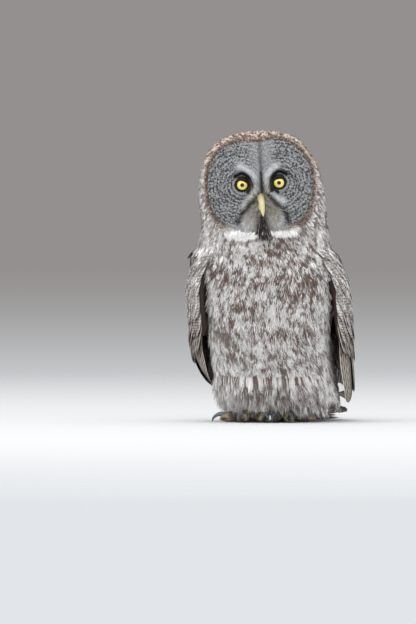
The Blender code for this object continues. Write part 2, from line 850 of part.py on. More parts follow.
def wing_vane(surface, tier, index, random):
    """One vane of a tier. Long vanes bend at shared levels, so that they stay apart."""
    share = index / (tier.count - 1)
    root = tier.roots[0] + (tier.roots[1] - tier.roots[0]) * share
    scatter = random.uniform(-WING_TIP_SCATTER, WING_TIP_SCATTER)
    tip = tier.tips[0] + (tier.tips[1] - tier.tips[0]) * share + scatter
    root_across = tier.root_spread[0] + (tier.root_spread[1] - tier.root_spread[0]) * share
    tip_across = tier.tip_spread[0] + (tier.tip_spread[1] - tier.tip_spread[0]) * share
    if tier.columns is WIDE:
        inner = [level for level in WING_LEVELS if root + 0.04 < level < tip - 0.08]
        places = [root, *inner, *(tip - back for back in WING_TIP_STEPS)]
        outline = [((place - root) / (tip - root), None) for place in places]
    else:
        outline = SHORT_STEPS
    tops = []
    bottoms = []
    for step, width in outline:
        width = width or vane_width(step)
        where = root + (tip - root) * step
        across = root_across + (tip_across - root_across) * step
        lift = tier.lift[0] + (tier.lift[1] - tier.lift[0]) * step + tier.pitch * index * step
        half = tier.half_width * width / surface.breadth(where)
        top_row = []
        bottom_row = []
        for column in tier.columns:
            place = surface.place(where, across + column * half)
            normal = surface.normal(where, across)
            height = lift + column * tier.half_width * width * tier.slope
            top_row.append(place + normal * (height + tier.thickness / 2.0))
            bottom_row.append(place + normal * (height - tier.thickness / 2.0))
        tops.append(top_row)
        bottoms.append(bottom_row)
    return vane_solid("vane", np.array(tops), np.array(bottoms))


def wing_pad(name, surface):
    """The wing's arm: a pad along its upper part, thin at its edges."""
    rows = WING_PAD_ROWS
    columns = WING_PAD_COLUMNS
    tops = np.zeros((rows, columns, 3))
    bottoms = np.zeros((rows, columns, 3))
    for row in range(rows):
        for column in range(columns):
            share = row / (rows - 1)
            across = 0.02 + 0.96 * column / (columns - 1)
            place = surface.place(WING_PAD_END * share, across)
            normal = surface.normal(WING_PAD_END * share, across)
            swell = min(1.0, PAD_SWELL * across * (1.0 - across))
            over = swell * min(1.0, PAD_START + PAD_RISE * share)
            thin = 1.0 - PAD_THINNING * share
            tops[row, column] = place + normal * (WING_PAD_HEIGHT * over * thin)
            depth = WING_PAD_DEPTH * (1.0 if row < rows - 1 else PAD_LAST)
            below = min(1.0, PAD_EDGE + PAD_FILL * across * (1.0 - across))
            bottoms[row, column] = place - normal * depth * below
    return vane_solid(name, tops, bottoms)


def make_wing(side, cutters):
    """One folded wing: its arm with tiers of flight feathers and coverts fused to it."""
    surface = WingSurface(side)
    wing = wing_pad(f"wing_{side}", surface)
    random = np.random.default_rng(WING_SEED)
    vanes = []
    for tier in WING_TIERS.values():
        for index in range(tier.count):
            vanes.append(wing_vane(surface, tier, index, random))
    fuse(wing, vanes)
    for cutting in cutters:
        cut(wing, cutting, keep_cutter=True)
    keep_largest(wing)


def path_place(path, share):
    """A place on a smooth path through named points, and its direction."""
    knots = np.linspace(0.0, 1.0, len(path))
    points = np.array(path)

    def at(value):
        index = int(np.clip(value * (len(path) - 1), 0, len(path) - 2))
        part = (value - knots[index]) * (len(path) - 1)
        start = points[index]
        end = points[index + 1]
        leave = (end - points[max(index - 1, 0)]) / 2.0
        arrive = (points[min(index + 2, len(path) - 1)] - start) / 2.0
        return (
            start * (2.0 * part**3 - 3.0 * part**2 + 1.0)
            + leave * (part**3 - 2.0 * part**2 + part)
            + end * (3.0 * part**2 - 2.0 * part**3)
            + arrive * (part**3 - part**2)
        )

    place = at(share)
    ahead = at(min(share + 0.01, 1.0)) - at(max(share - 0.01, 0.0))
    return place, ahead / np.linalg.norm(ahead)


def path_frame(path, share):
    """Place, side and upward directions on a path."""
    place, ahead = path_place(path, share)
    place[2] = max(place[2], 0.0)
    side = np.cross(ahead, (0.0, 0.0, 1.0))
    side /= np.linalg.norm(side)
    return place, side, np.cross(side, ahead)


def strip_vane(path, stations, offset, half_width, lift, thickness, rise=0.0):
    """A vane along a path, set off to its side and above it, that may rise toward its tip."""
    start = stations[0][0]
    end = stations[-1][0]
    tops = []
    bottoms = []
    for share, width in stations:
        step = (share - start) / (end - start)
        place, side, up = path_frame(path, share)
        beside = offset * (ROOT_SPREAD + (1.0 - ROOT_SPREAD) * step)
        middle = place + side * beside + up * (lift + rise * step)
        top_row = []
        bottom_row = []
        for column in (-1.0, 0.0, 1.0):
            point = middle + side * column * half_width * width
            top_row.append(point + up * thickness / 2.0)
            bottom_row.append(point - up * thickness / 2.0)
        tops.append(top_row)
        bottoms.append(bottom_row)
    return vane_solid("vane", np.array(tops), np.array(bottoms))


def path_pad(name, path, reach, half_width, heights, taper):
    """A block along part of a path, between two heights, tapering toward its end."""
    start, end = reach
    low, high = heights
    around = np.linspace(0.0, 2.0 * math.pi, 16, endpoint=False)
    rings = []
    for step in (0.0, 0.35, 0.7, 1.0):
        place, side, up = path_frame(path, start + (end - start) * step)
        size = 1.0 - (1.0 - taper) * step
        across = np.outer(sign_power(np.cos(around), 0.8) * half_width * size, side)
        middle = (low + high) / 2.0
        half_height = (high - low) / 2.0 * size
        upward = np.outer(sign_power(np.sin(around), 0.8) * half_height + middle, up)
        rings.append(place + across + upward)
    return object_from(name, *stack(rings))


def spread(count, half_width):
    """Evenly spaced offsets from one side to the other."""
    return [half_width * (2.0 * index / (count - 1) - 1.0) for index in range(count)]


def make_tail(cutters):
    """The tail: twelve long vanes, the outer ones lowest, with a short tier over their roots."""
    reach = (TAIL_PAD_START, TAIL_PAD_END)
    tail = path_pad("tail", TAIL_PATH, reach, TAIL_PAD_HALF_WIDTH, TAIL_PAD_HEIGHTS, TAIL_PAD_TAPER)
    vanes = []
    for index in range(TAIL_COUNT):
        pair = index // 2
        side = -1.0 if index % 2 else 1.0
        outward = 1.0 - pair / (TAIL_COUNT / 2 - 1)
        offset = side * (TAIL_MIDDLE_OFFSET + TAIL_FAN * outward)
        lift = TAIL_THICKNESS / 2.0 + TAIL_PITCH * index
        end = 1.0 - TAIL_STEP_BACK * outward
        shares = [*TAIL_LEVELS, *(end - back for back in TAIL_TIP_STEPS)]
        start = shares[0]
        stations = [(share, vane_width((share - start) / (end - start))) for share in shares]
        vanes.append(strip_vane(TAIL_PATH, stations, offset, TAIL_HALF_WIDTH, lift, TAIL_THICKNESS))
    start, end = UPPERTAIL_REACH
    for index, offset in enumerate(spread(UPPERTAIL_COUNT, UPPERTAIL_SPREAD)):
        stations = [(start + (end - start) * step, width) for step, width in SHORT_STEPS]
        lift = UPPERTAIL_LIFT + UPPERTAIL_PITCH * index
        sizes = (offset, UPPERTAIL_HALF_WIDTH, lift, TAIL_THICKNESS, UPPERTAIL_RISE)
        vanes.append(strip_vane(TAIL_PATH, stations, *sizes))
    fuse(tail, vanes, "MANIFOLD")
    for cutting in cutters:
        cut(tail, cutting, keep_cutter=True, solver="MANIFOLD")
    keep_largest(tail)


def make_undertail(cutters):
    """The feathers under the tail's root: a low wedge with soft vanes."""
    sizes = (UNDERTAIL_PAD_HALF_WIDTH, UNDERTAIL_PAD_HEIGHTS, UNDERTAIL_PAD_TAPER)
    base = path_pad("undertail_coverts", UNDERTAIL_PATH, (0.0, UNDERTAIL_PAD_END), *sizes)
    vanes = []
    for index, offset in enumerate(spread(UNDERTAIL_COUNT, UNDERTAIL_SPREAD)):
        start = UNDERTAIL_START
        end = 1.0 - UNDERTAIL_STEP_BACK * abs(offset)
        stations = [(start + (end - start) * step, width) for step, width in SHORT_STEPS]
        lift = UNDERTAIL_PITCH * index
        sizes = (offset, UNDERTAIL_HALF_WIDTH, lift, UNDERTAIL_THICKNESS)
        vanes.append(strip_vane(UNDERTAIL_PATH, stations, *sizes))
    fuse(base, vanes)
    on_floor(base)
    for cutting in cutters:
        cut(base, cutting, keep_cutter=True)
    keep_largest(base)


FINISHES = {
    "head": ((0.46, 0.42, 0.40), 0.9),
    "neck": ((0.48, 0.45, 0.43), 0.9),
    "breast": ((0.45, 0.42, 0.40), 0.9),
    "back": ((0.36, 0.33, 0.31), 0.9),
    "belly": ((0.52, 0.49, 0.47), 0.9),
    "facial_disc": ((0.26, 0.27, 0.28), 0.9),
    "eye": ((0.80, 0.70, 0.20), 0.1),
    "lids": ((0.03, 0.03, 0.03), 0.6),
    "bill": ((0.70, 0.62, 0.28), 0.4),
    "leg": ((0.55, 0.52, 0.49), 0.9),
    "foot": ((0.48, 0.42, 0.38), 0.9),
    "claw": ((0.07, 0.07, 0.08), 0.35),
    "wing": ((0.30, 0.26, 0.23), 0.8),
    "tail": ((0.27, 0.23, 0.20), 0.8),
    "undertail": ((0.60, 0.57, 0.54), 0.9),
    "rump": ((0.34, 0.31, 0.29), 0.9),
}


def finish_objects():
    """Gives each node its own material and brings the whole over the origin."""
    for made in bpy.context.scene.collection.objects:
        words = made.name if made.name in FINISHES else made.name.split("_")[0]
        colour, roughness = FINISHES[words]
        material = bpy.data.materials.new(made.name)
        material.use_nodes = True
        shader = material.node_tree.nodes["Principled BSDF"]
        shader.inputs["Base Color"].default_value = (*colour, 1.0)
        shader.inputs["Roughness"].default_value = roughness
        shader.inputs["Metallic"].default_value = 0.0
        made.data.materials.clear()
        made.data.materials.append(material)
        for vertex in made.data.vertices:
            vertex.co.x += FRAME_SHIFT[0] * MM
            vertex.co.y += FRAME_SHIFT[1] * MM


def main():
    """Builds the owl."""
    remove(bpy.data.objects)
    make_body()
    make_face()
    cutter = body_cutter()
    legs = [make_foot(side, foot) for side, foot in FEET.items()]
    rump = tube("rump", RUMP, sides=24)
    for piece in (*legs, rump):
        cut(piece, cutter, keep_cutter=True)
        keep_largest(piece)
    rump_cutter = tube("rump_cutter", RUMP, sides=24, grow=GAP, reach=GAP)
    cutters = (cutter, rump_cutter)
    for side in WINGS:
        make_wing(side, cutters)
    make_tail(cutters)
    make_undertail(cutters)
    remove(cutters)
    finish_objects()


main()
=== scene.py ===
"""Great grey owl, life size: skin, plumage, flight feathers, face, feet and studio.

Lengths are millimetres in the owl's own axes until a mesh is made: X to its left, -Y where it looks,
+Z up. Mesh coordinates are then moved by SHIFT and become metres. A tuft is a small fan of blades or
a vane whose vertices are set out flat, settled on the body's surface and raised above the skin.
"""

import logging
import math
from dataclasses import dataclass, field
from enum import Enum
from typing import Callable

import bpy
import numpy as np
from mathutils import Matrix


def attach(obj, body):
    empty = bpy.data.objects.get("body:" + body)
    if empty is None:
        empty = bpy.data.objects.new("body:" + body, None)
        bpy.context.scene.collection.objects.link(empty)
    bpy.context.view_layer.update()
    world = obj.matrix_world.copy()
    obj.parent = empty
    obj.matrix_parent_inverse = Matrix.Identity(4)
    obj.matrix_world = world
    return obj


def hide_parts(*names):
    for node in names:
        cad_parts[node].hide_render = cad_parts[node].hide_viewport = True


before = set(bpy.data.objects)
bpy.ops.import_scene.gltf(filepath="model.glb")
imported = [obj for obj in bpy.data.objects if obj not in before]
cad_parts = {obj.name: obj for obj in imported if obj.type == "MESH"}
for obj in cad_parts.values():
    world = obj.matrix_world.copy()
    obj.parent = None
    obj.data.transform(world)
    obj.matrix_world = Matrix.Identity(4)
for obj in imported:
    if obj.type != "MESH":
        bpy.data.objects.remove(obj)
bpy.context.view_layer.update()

LOG = logging.getLogger("owl")
Array = np.ndarray
Colour = tuple[float, float, float, float]

TURN = 2.0 * math.pi
MM = 0.001
SHIFT = np.array([-4.0, -100.0, 0.0])
ROOT = "root"
BODY_POWER = 2.3

# Sections of the body: height, left and right side, front, back and turn in degrees.
BODY = (
    (11.0, 58.0, 59.0, 82.0, 83.0, 30.0),
    (14.0, 20.0, 97.0, 52.0, 113.0, 30.0),
    (21.0, -14.0, 106.0, 28.0, 118.0, 30.0),
    (29.0, -62.0, 106.0, -26.0, 117.0, 28.0),
    (43.0, -73.0, 104.0, -54.0, 113.0, 26.0),
    (64.0, -80.0, 100.0, -76.0, 108.0, 22.0),
    (97.0, -88.0, 96.0, -87.0, 101.0, 18.0),
    (142.0, -98.0, 101.0, -92.0, 96.0, 14.0),
    (193.0, -104.0, 105.0, -88.0, 92.0, 10.0),
    (222.0, -108.0, 104.0, -81.0, 89.0, 7.0),
    (237.0, -108.0, 100.0, -77.0, 88.0, 5.0),
    (250.0, -105.0, 94.0, -73.0, 86.0, 3.0),
    (269.0, -99.0, 90.5, -69.0, 84.0, 0.0),
    (289.0, -96.0, 87.0, -67.0, 85.0, 0.0),
    (305.0, -98.6, 85.5, -66.0, 88.0, 0.0),
    (331.0, -101.0, 83.0, -62.0, 90.0, 0.0),
    (351.0, -100.0, 78.7, -59.0, 87.0, 0.0),
    (371.5, -96.0, 72.2, -54.0, 81.0, 0.0),
    (387.5, -89.2, 63.1, -46.0, 72.0, 0.0),
    (402.0, -78.3, 52.2, -35.0, 60.0, 0.0),
    (413.5, -60.9, 40.6, -20.0, 44.0, 0.0),
    (418.8, -45.0, 26.0, -9.0, 32.0, 0.0),
    (421.0, -32.0, 14.0, -1.0, 22.0, 0.0),
    (422.4, -9.5, -8.5, 10.0, 11.0, 0.0),
)

DISC_CENTRE = (-11.6, 342.5)
DISC_HALF_WIDTH = 77.5
DISC_UP = 69.5
DISC_DOWN = 66.0
DISC_POWER = 2.45
DISC_NOTCH = 5.0
DISC_NOTCH_ANGLE = 14.0
DISC_HOLLOW = 7.0
DISC_RIDGE = 5.0
DISC_RIDGE_WIDTH = 9.0
HEAD_ROLL = math.radians(3.6)
SLANT = math.radians(33.0)

EYE_RADIUS = 11.5
EYE_PROUD = 3.5
EYES = {"right": (-37.6, 343.4), "left": (15.5, 346.7)}
EYE_DEPTH = -44.2


class Side(Enum):
    """The owl's own side; the value is the sign of its outward direction along X."""

    LEFT = 1
    RIGHT = -1

    @property
    def word(self) -> str:
        """The side's name in the model's node names."""
        return self.name.lower()


class Slot(Enum):
    """Material slot names."""

    CROWN = "crown_feathers"
    DISC = "disc_feathers"
    BODY = "body_feathers"
    BACK = "back_feathers"
    FLIGHT = "flight_feathers"
    TAIL = "tail_feathers"
    UNDERTAIL = "undertail_feathers"
    LEG = "leg_feathers"
    TOE = "toe_feathers"
    EYE = "eye"
    LID = "lid_skin"
    BILL = "bill_horn"
    CLAW = "claw_horn"


def smooth(low: float, high: float, value: Array) -> Array:
    """A smooth step: t * t * (3 - 2t), where t is how far the value is from low to high.

    Args:
        low: Where the step starts.
        high: Where it ends.
        value: The values.

    Returns:
        Numbers from 0 to 1.
    """
    share = np.clip((value - low) / (high - low), 0.0, 1.0)
    return share * share * (3.0 - 2.0 * share)


def bell(value: Array, width: float) -> Array:
    """A bell curve of a width: e to the power of minus (value / width) squared."""
    return np.exp(-((value / width) ** 2))


def unit(vectors: Array) -> Array:
    """Vectors of length 1 in the same directions."""
    return vectors / np.maximum(np.linalg.norm(vectors, axis=-1, keepdims=True), 1e-9)


def signed_power(value: Array, power: float) -> Array:
    """The value's size to a power, with its sign kept."""
    return np.sign(value) * np.abs(value) ** power


def noise(points: Array, size: float | tuple[float, ...], seed: int = 0) -> Array:
    """Smooth noise: a random number at each corner of a grid of cells, blended by smooth steps.

    Args:
        points: Places, with three numbers in the last axis.
        size: A cell's size, or its size along each axis.
        seed: Picks another pattern.

    Returns:
        Numbers from 0 to 1.
    """
    scaled = points / np.asarray(size) + seed * 17.37
    cell = np.floor(scaled).astype(np.int64)
    part = scaled - cell
    part = part * part * (3.0 - 2.0 * part)
    total = np.zeros(points.shape[:-1])
    for corner in range(8):
        offset = np.array([corner & 1, corner >> 1 & 1, corner >> 2 & 1])
        index = cell + offset
        mixed = index[..., 0] * 73856093 ^ index[..., 1] * 19349663 ^ index[..., 2] * 83492791
        mixed = (mixed ^ (mixed >> 13)) * 1274126177 & 0x7FFFFFFF
        value = ((mixed ^ (mixed >> 15)) & 0xFFFF) / 65535.0
        total += value * np.prod(np.where(offset == 1, part, 1.0 - part), axis=-1)
    return total


def hermite(start: Array, end: Array, leave: Array, arrive: Array, share: Array) -> Array:
    """A cubic between two values: its ends and end slopes, weighted by the four Hermite polynomials."""
    square = share * share
    cube = square * share
    return (
        start * (2.0 * cube - 3.0 * square + 1.0)
        + leave * (cube - 2.0 * square + share)
        + end * (3.0 * square - 2.0 * cube)
        + arrive * (cube - square)
    )


def monotone(at: Array, knots: Array, values: Array) -> Array:
    """A smooth curve through values that never overshoots: Hermite cubics with harmonic mean slopes.

    Args:
        at: Where to read the curve.
        knots: Rising places of the values.
        values: The values.

    Returns:
        The curve's values.
    """
    steps = np.diff(knots)
    slopes = np.diff(values) / steps
    product = slopes[:-1] * slopes[1:]
    total = slopes[:-1] + slopes[1:]
    inner = np.where(product > 0.0, 2.0 * product / np.where(total == 0.0, 1.0, total), 0.0)
    tangents = np.concatenate([[slopes[0]], inner, [slopes[-1]]])
    index = np.clip(np.searchsorted(knots, at) - 1, 0, len(knots) - 2)
    share = (at - knots[index]) / steps[index]
    leave = tangents[index] * steps[index]
    arrive = tangents[index + 1] * steps[index]
    return hermite(values[index], values[index + 1], leave, arrive, share)


def curve_through(points: Array, share: Array) -> Array:
    """A smooth curve through points spaced evenly in its own measure, by Catmull-Rom cubics.

    Args:
        points: The points, one row each.
        share: Places from 0 to 1.

    Returns:
        One row for each place.
    """
    last = len(points) - 1
    index = np.clip((share * last).astype(int), 0, last - 1)
    part = (share * last - index)[..., None]
    before = points[np.maximum(index - 1, 0)]
    start = points[index]
    end = points[index + 1]
    after = points[np.minimum(index + 2, last)]
    return hermite(start, end, (end - before) / 2.0, (after - start) / 2.0, part)


def stroke(x: Array, z: Array, path: tuple, width: float | tuple[float, float]) -> Array:
    """A soft brush stroke along a path seen from the front: a bell curve of the distance to it.

    Args:
        x: Places across.
        z: Places upward.
        path: Points of x and z that the stroke runs through.
        width: The bell's width, or its widths at the start and the end.

    Returns:
        Numbers from 0 to 1.
    """
    share = np.linspace(0.0, 1.0, 24)
    line = curve_through(np.array(path, float), share)
    widths = np.interp(share, (0.0, 1.0), np.broadcast_to(width, 2))
    apart = np.hypot(x[..., None] - line[:, 0], z[..., None] - line[:, 1]) / widths
    return np.exp(-(apart.min(axis=-1) ** 2))


def rgb(red: int, green: int, blue: int) -> tuple[float, float, float, float]:
    """A colour for a socket, from its three display values of 0 to 255."""
    parts = np.array([red, green, blue]) / 255.0
    linear = np.where(parts <= 0.04045, parts / 12.92, ((parts + 0.055) / 1.055) ** 2.4)
    return (*linear.tolist(), 1.0)


def disc_share(x: Array, z: Array) -> tuple[Array, Array]:
    """Where places seen from the front lie in the facial disc.

    The disc's edge is a rounded oblong, |x/a|^n + |z/b|^n = 1 in axes rolled with the head, less a
    bell-shaped notch at its top.

    Args:
        x: Places across.
        z: Places upward.

    Returns:
        Distance from the disc's middle as a share of its edge, and distance across from the midline.
    """
    along = x - DISC_CENTRE[0]
    upward = z - DISC_CENTRE[1]
    across = along * math.cos(HEAD_ROLL) + upward * math.sin(HEAD_ROLL)
    height = upward * math.cos(HEAD_ROLL) - along * math.sin(HEAD_ROLL)
    angle = np.arctan2(height, across)
    half = np.where(height > 0.0, DISC_UP, DISC_DOWN)
    total = np.abs(np.cos(angle) / DISC_HALF_WIDTH) ** DISC_POWER
    total = total + np.abs(np.sin(angle) / half) ** DISC_POWER
    notch = DISC_NOTCH * bell(np.degrees(angle) - 90.0, DISC_NOTCH_ANGLE)
    reach = total ** (-1.0 / DISC_POWER) - notch
    return np.hypot(across, height) / reach, across


WHISKER_LOBES = ((-27.0, 291.0, 11.0), (10.5, 296.0, 11.0))
BROWS = (
    ((-40.0, 369.0), (-22.0, 353.0), (-20.5, 335.0), (-34.0, 314.0)),
    ((10.0, 369.0), (-1.5, 353.0), (1.0, 336.0), (22.0, 320.5)),
)


def face_relief(x: Array, z: Array) -> Array:
    """How far the face lies behind the plain head, in millimetres.

    It is the disc's hollow, 1 - share^4, less a ridge down its middle, less the swellings of the
    two brows and the two whisker lobes, and of a low welt around each eye.

    Args:
        x: Places across.
        z: Places upward.

    Returns:
        Depth behind the head's own front.
    """
    share, off_middle = disc_share(x, z)
    inside = np.clip(share, 0.0, 1.0)
    depth = DISC_HOLLOW * (1.0 - inside**4)
    depth = depth - DISC_RIDGE * bell(off_middle, DISC_RIDGE_WIDTH) * (1.0 - inside**2)
    for brow in BROWS:
        depth = depth - 3.0 * stroke(x, z, brow, 5.5)
    for lobe_x, lobe_z, lobe_size in WHISKER_LOBES:
        depth = depth - 6.5 * bell(np.hypot(x - lobe_x, (z - lobe_z) * 0.85), lobe_size)
    for eye_x, eye_z in EYES.values():
        depth = depth - 1.6 * bell(np.hypot(x - eye_x, z - eye_z) - 9.5, 5.0)
    return depth


class BodyShape:
    """The owl's outer surface as one stack of rounded oblongs, with the face's relief in its front.

    A point's reach is (|u|^n + |v|^n)^(1/n), with u and v its place in the level's own turned axes
    as shares of the half sizes. The surface is where the reach is 1.
    """

    STEP = 0.5
    HEAD_BOTTOM = 262.0

    def __init__(self) -> None:
        """Works out the table of levels."""
        knots = np.array(BODY)
        self.bottom = knots[0, 0]
        self.top = knots[-1, 0]
        heights = np.arange(self.bottom, self.top + self.STEP, self.STEP)
        left, right, front, back, yaw = (monotone(heights, knots[:, 0], knots[:, i]) for i in range(1, 6))
        half_width = np.maximum((right - left) / 2.0, 0.5)
        half_depth = np.maximum((back - front) / 2.0, 0.5)
        turn = np.radians(yaw)
        cosine = np.cos(turn)
        sine = np.sin(turn)
        around = np.linspace(0.0, 2.0 * math.pi, 72)[:, None]
        across = half_width * signed_power(np.cos(around), 2.0 / BODY_POWER)
        along = half_depth * signed_power(np.sin(around), 2.0 / BODY_POWER)
        fit_x = half_width / np.abs(across * cosine + along * sine).max(axis=0)
        fit_y = half_depth / np.abs(along * cosine - across * sine).max(axis=0)
        self.table = np.stack(
            [
                (left + right) / 2.0,
                (front + back) / 2.0,
                cosine / fit_x / half_width,
                sine / fit_y / half_width,
                sine / fit_x / half_depth,
                cosine / fit_y / half_depth,
                half_depth,
                half_width,
            ],
            axis=1,
        )
        mean = (half_width + half_depth) / 2.0
        rise = np.hypot(np.diff(heights), np.diff(mean))
        self.heights = heights
        self.profile = np.concatenate([[0.0], np.cumsum(rise)])
        self.girth = 2.0 * math.pi * mean

    def level(self, z: Array) -> Array:
        """The table's row at each height, straight between its steps."""
        place = np.clip((z - self.bottom) / self.STEP, 0.0, len(self.table) - 1.001)
        index = place.astype(int)
        part = (place - index)[..., None]
        return self.table[index] * (1.0 - part) + self.table[index + 1] * part

    def reach(self, points: Array) -> Array:
        """How far out points lie: 1 on the surface, less inside it."""
        row = self.level(points[..., 2])
        x = points[..., 0] - row[..., 0]
        y = points[..., 1] - row[..., 1]
        face = (points[..., 2] > self.HEAD_BOTTOM) & (y < 0.0)
        if face.any():
            relief = face_relief(points[..., 0][face], points[..., 2][face])
            fade = smooth(self.HEAD_BOTTOM, self.HEAD_BOTTOM + 14.0, points[..., 2][face])
            front = smooth(0.05, 0.45, -y[face] / row[..., 6][face])
            y = y.copy()
            y[face] -= relief * fade * front
        across = np.abs(x * row[..., 2] - y * row[..., 3])
        along = np.abs(x * row[..., 4] + y * row[..., 5])
        return (across**BODY_POWER + along**BODY_POWER) ** (1.0 / BODY_POWER)

    def slope(self, points: Array, reach: Array) -> Array:
        """The reach's change along X, Y and Z, from three small steps."""
        step = 0.4
        found = np.empty(points.shape)
        for axis in range(3):
            moved = points.copy()
            moved[..., axis] += step
            found[..., axis] = (self.reach(moved) - reach) / step
        return found

    def settle(self, points: Array, rounds: int = 2) -> tuple[Array, Array]:
        """Moves points onto the surface along its slope, by Newton's method.

        Args:
            points: Points near the surface.
            rounds: How often each is moved.

        Returns:
            The points on the surface, and the outward directions there.
        """
        points = points.copy()
        for _ in range(rounds):
            reach = self.reach(points)
            slope = self.slope(points, reach)
            size = np.maximum((slope**2).sum(axis=-1), 1e-6)
            move = slope * ((reach - 1.0) / size)[..., None]
            length = np.linalg.norm(move, axis=-1, keepdims=True)
            points -= move * np.minimum(1.0, 14.0 / np.maximum(length, 1e-9))
            points[..., 2] = np.clip(points[..., 2], self.bottom + 0.5, self.top - 0.4)
        return points, unit(self.slope(points, self.reach(points)))

    def ring_points(self, angle: Array, z: Array) -> Array:
        """Points at an angle around a level's middle: the direction, scaled until its reach is 1."""
        row = self.level(z)
        x = np.cos(angle)
        y = np.sin(angle)
        across = np.abs(x * row[..., 2] - y * row[..., 3])
        along = np.abs(x * row[..., 4] + y * row[..., 5])
        scale = (across**BODY_POWER + along**BODY_POWER) ** (-1.0 / BODY_POWER)
        return np.stack([row[..., 0] + x * scale, row[..., 1] + y * scale, z], axis=-1)

    def scatter(self, spacing: float, bottom: float, top: float, random: np.random.Generator) -> Array:
        """Points spread evenly over a band of the surface, in rings with jitter.

        Args:
            spacing: Mean distance between neighbours.
            bottom: The band's lowest height.
            top: Its highest.
            random: The source of the jitter.

        Returns:
            One row for each point.
        """
        start, end = np.interp((bottom, top), self.heights, self.profile)
        rings = []
        for place in np.arange(start + spacing / 2.0, end, spacing):
            height = np.interp(place, self.profile, self.heights)
            count = max(3, int(np.interp(height, self.heights, self.girth) / spacing))
            angle = (np.arange(count) + random.uniform(-0.45, 0.45, count) + random.random()) / count
            along = place + random.uniform(-0.5, 0.5, count) * spacing
            z = np.minimum(np.interp(along, self.profile, self.heights), self.top - 1.2)
            rings.append(self.ring_points(angle * TURN, z))
        return np.concatenate(rings)

    def front_point(self, x: Array, z: Array, relief: bool = True) -> Array:
        """Points on the front of the head at places seen from the front.

        Args:
            x: Places across.
            z: Places upward.
            relief: Whether the face's relief is added.

        Returns:
            One row for each place.
        """
        row = self.level(z)
        across = np.minimum(np.abs(x - row[..., 0]) / row[..., 7], 0.995)
        y = row[..., 1] - row[..., 6] * (1.0 - across**BODY_POWER) ** (1.0 / BODY_POWER)
        if relief:
            y = y + face_relief(x, z)
        return np.stack([x, y, z], axis=-1)


@dataclass(frozen=True)
class TuftShape:
    """A tuft set out flat: places along and across, a random group for each part, and its faces."""

    along: Array
    across: Array
    part: Array
    faces: Array


def plume(blades: int, steps: tuple[float, ...] = (0.0, 0.35, 0.7, 1.0), gape: float = 0.30) -> TuftShape:
    """A fan of narrow blades that share a root: each leaves it a little to one side and tapers.

    Args:
        blades: How many blades.
        steps: Places along a blade.
        gape: A blade's half width as a share of the fan's.

    Returns:
        The shape.
    """
    along = []
    across = []
    part = []
    faces = []
    for blade in range(blades):
        lean = 2.0 * blade / (blades - 1) - 1.0 if blades > 1 else 0.0
        length = 1.0 - 0.16 * abs(lean) + 0.05 * (blade % 2)
        base = len(along)
        for row, step in enumerate(steps):
            middle = lean * (0.35 + 0.65 * step)
            half = gape * (1.0 - 0.55 * step) * (1.0 if row < len(steps) - 1 else 0.12)
            along += [step * length, step * length]
            across += [middle - half, middle + half]
            part += [blade, blade]
        for row in range(len(steps) - 1):
            corner = base + 2 * row
            faces.append((corner, corner + 1, corner + 3, corner + 2))
    return TuftShape(np.array(along), np.array(across), np.array(part), np.array(faces))


def vane(rows: int, columns: int, fray: float, root: float = 0.35, point: float = 2.6) -> TuftShape:
    """A small feather's vane: a grid that widens from its root and rounds off, with a ragged tip.

    Its half width is root + (1 - root) * min(1, s / 0.4), times (1 - s^point)^(1/2).

    Args:
        rows: Steps along it.
        columns: Vertices across it.
        fray: How far every other column falls short at the tip.
        root: Half width at the root, as a share of the full half width.
        point: A higher power makes a blunter tip.

    Returns:
        The shape.
    """
    step = np.linspace(0.0, 1.0, rows)[:, None]
    column = np.linspace(-1.0, 1.0, columns)[None, :]
    width = (root + (1.0 - root) * np.minimum(1.0, step / 0.4)) * np.sqrt(1.0 - (step * 0.97) ** point)
    ragged = fray * (np.arange(columns) % 2)[None, :] * step**3
    along = step * (1.0 - ragged) - 0.10 * column**2 * step
    across = width * column
    index = np.arange(rows * columns).reshape(rows, columns)
    faces = np.stack([index[:-1, :-1], index[:-1, 1:], index[1:, 1:], index[1:, :-1]], axis=-1)
    part = np.broadcast_to(np.arange(columns), (rows, columns))
    return TuftShape(along.ravel(), across.ravel(), part.ravel(), faces.reshape(-1, 4))


@dataclass
class Marks:
    """Plumage markings at a set of places: each an array of numbers from 0 to 1."""

    ink: Array
    white: Array
    warm: Array
    bar: Array


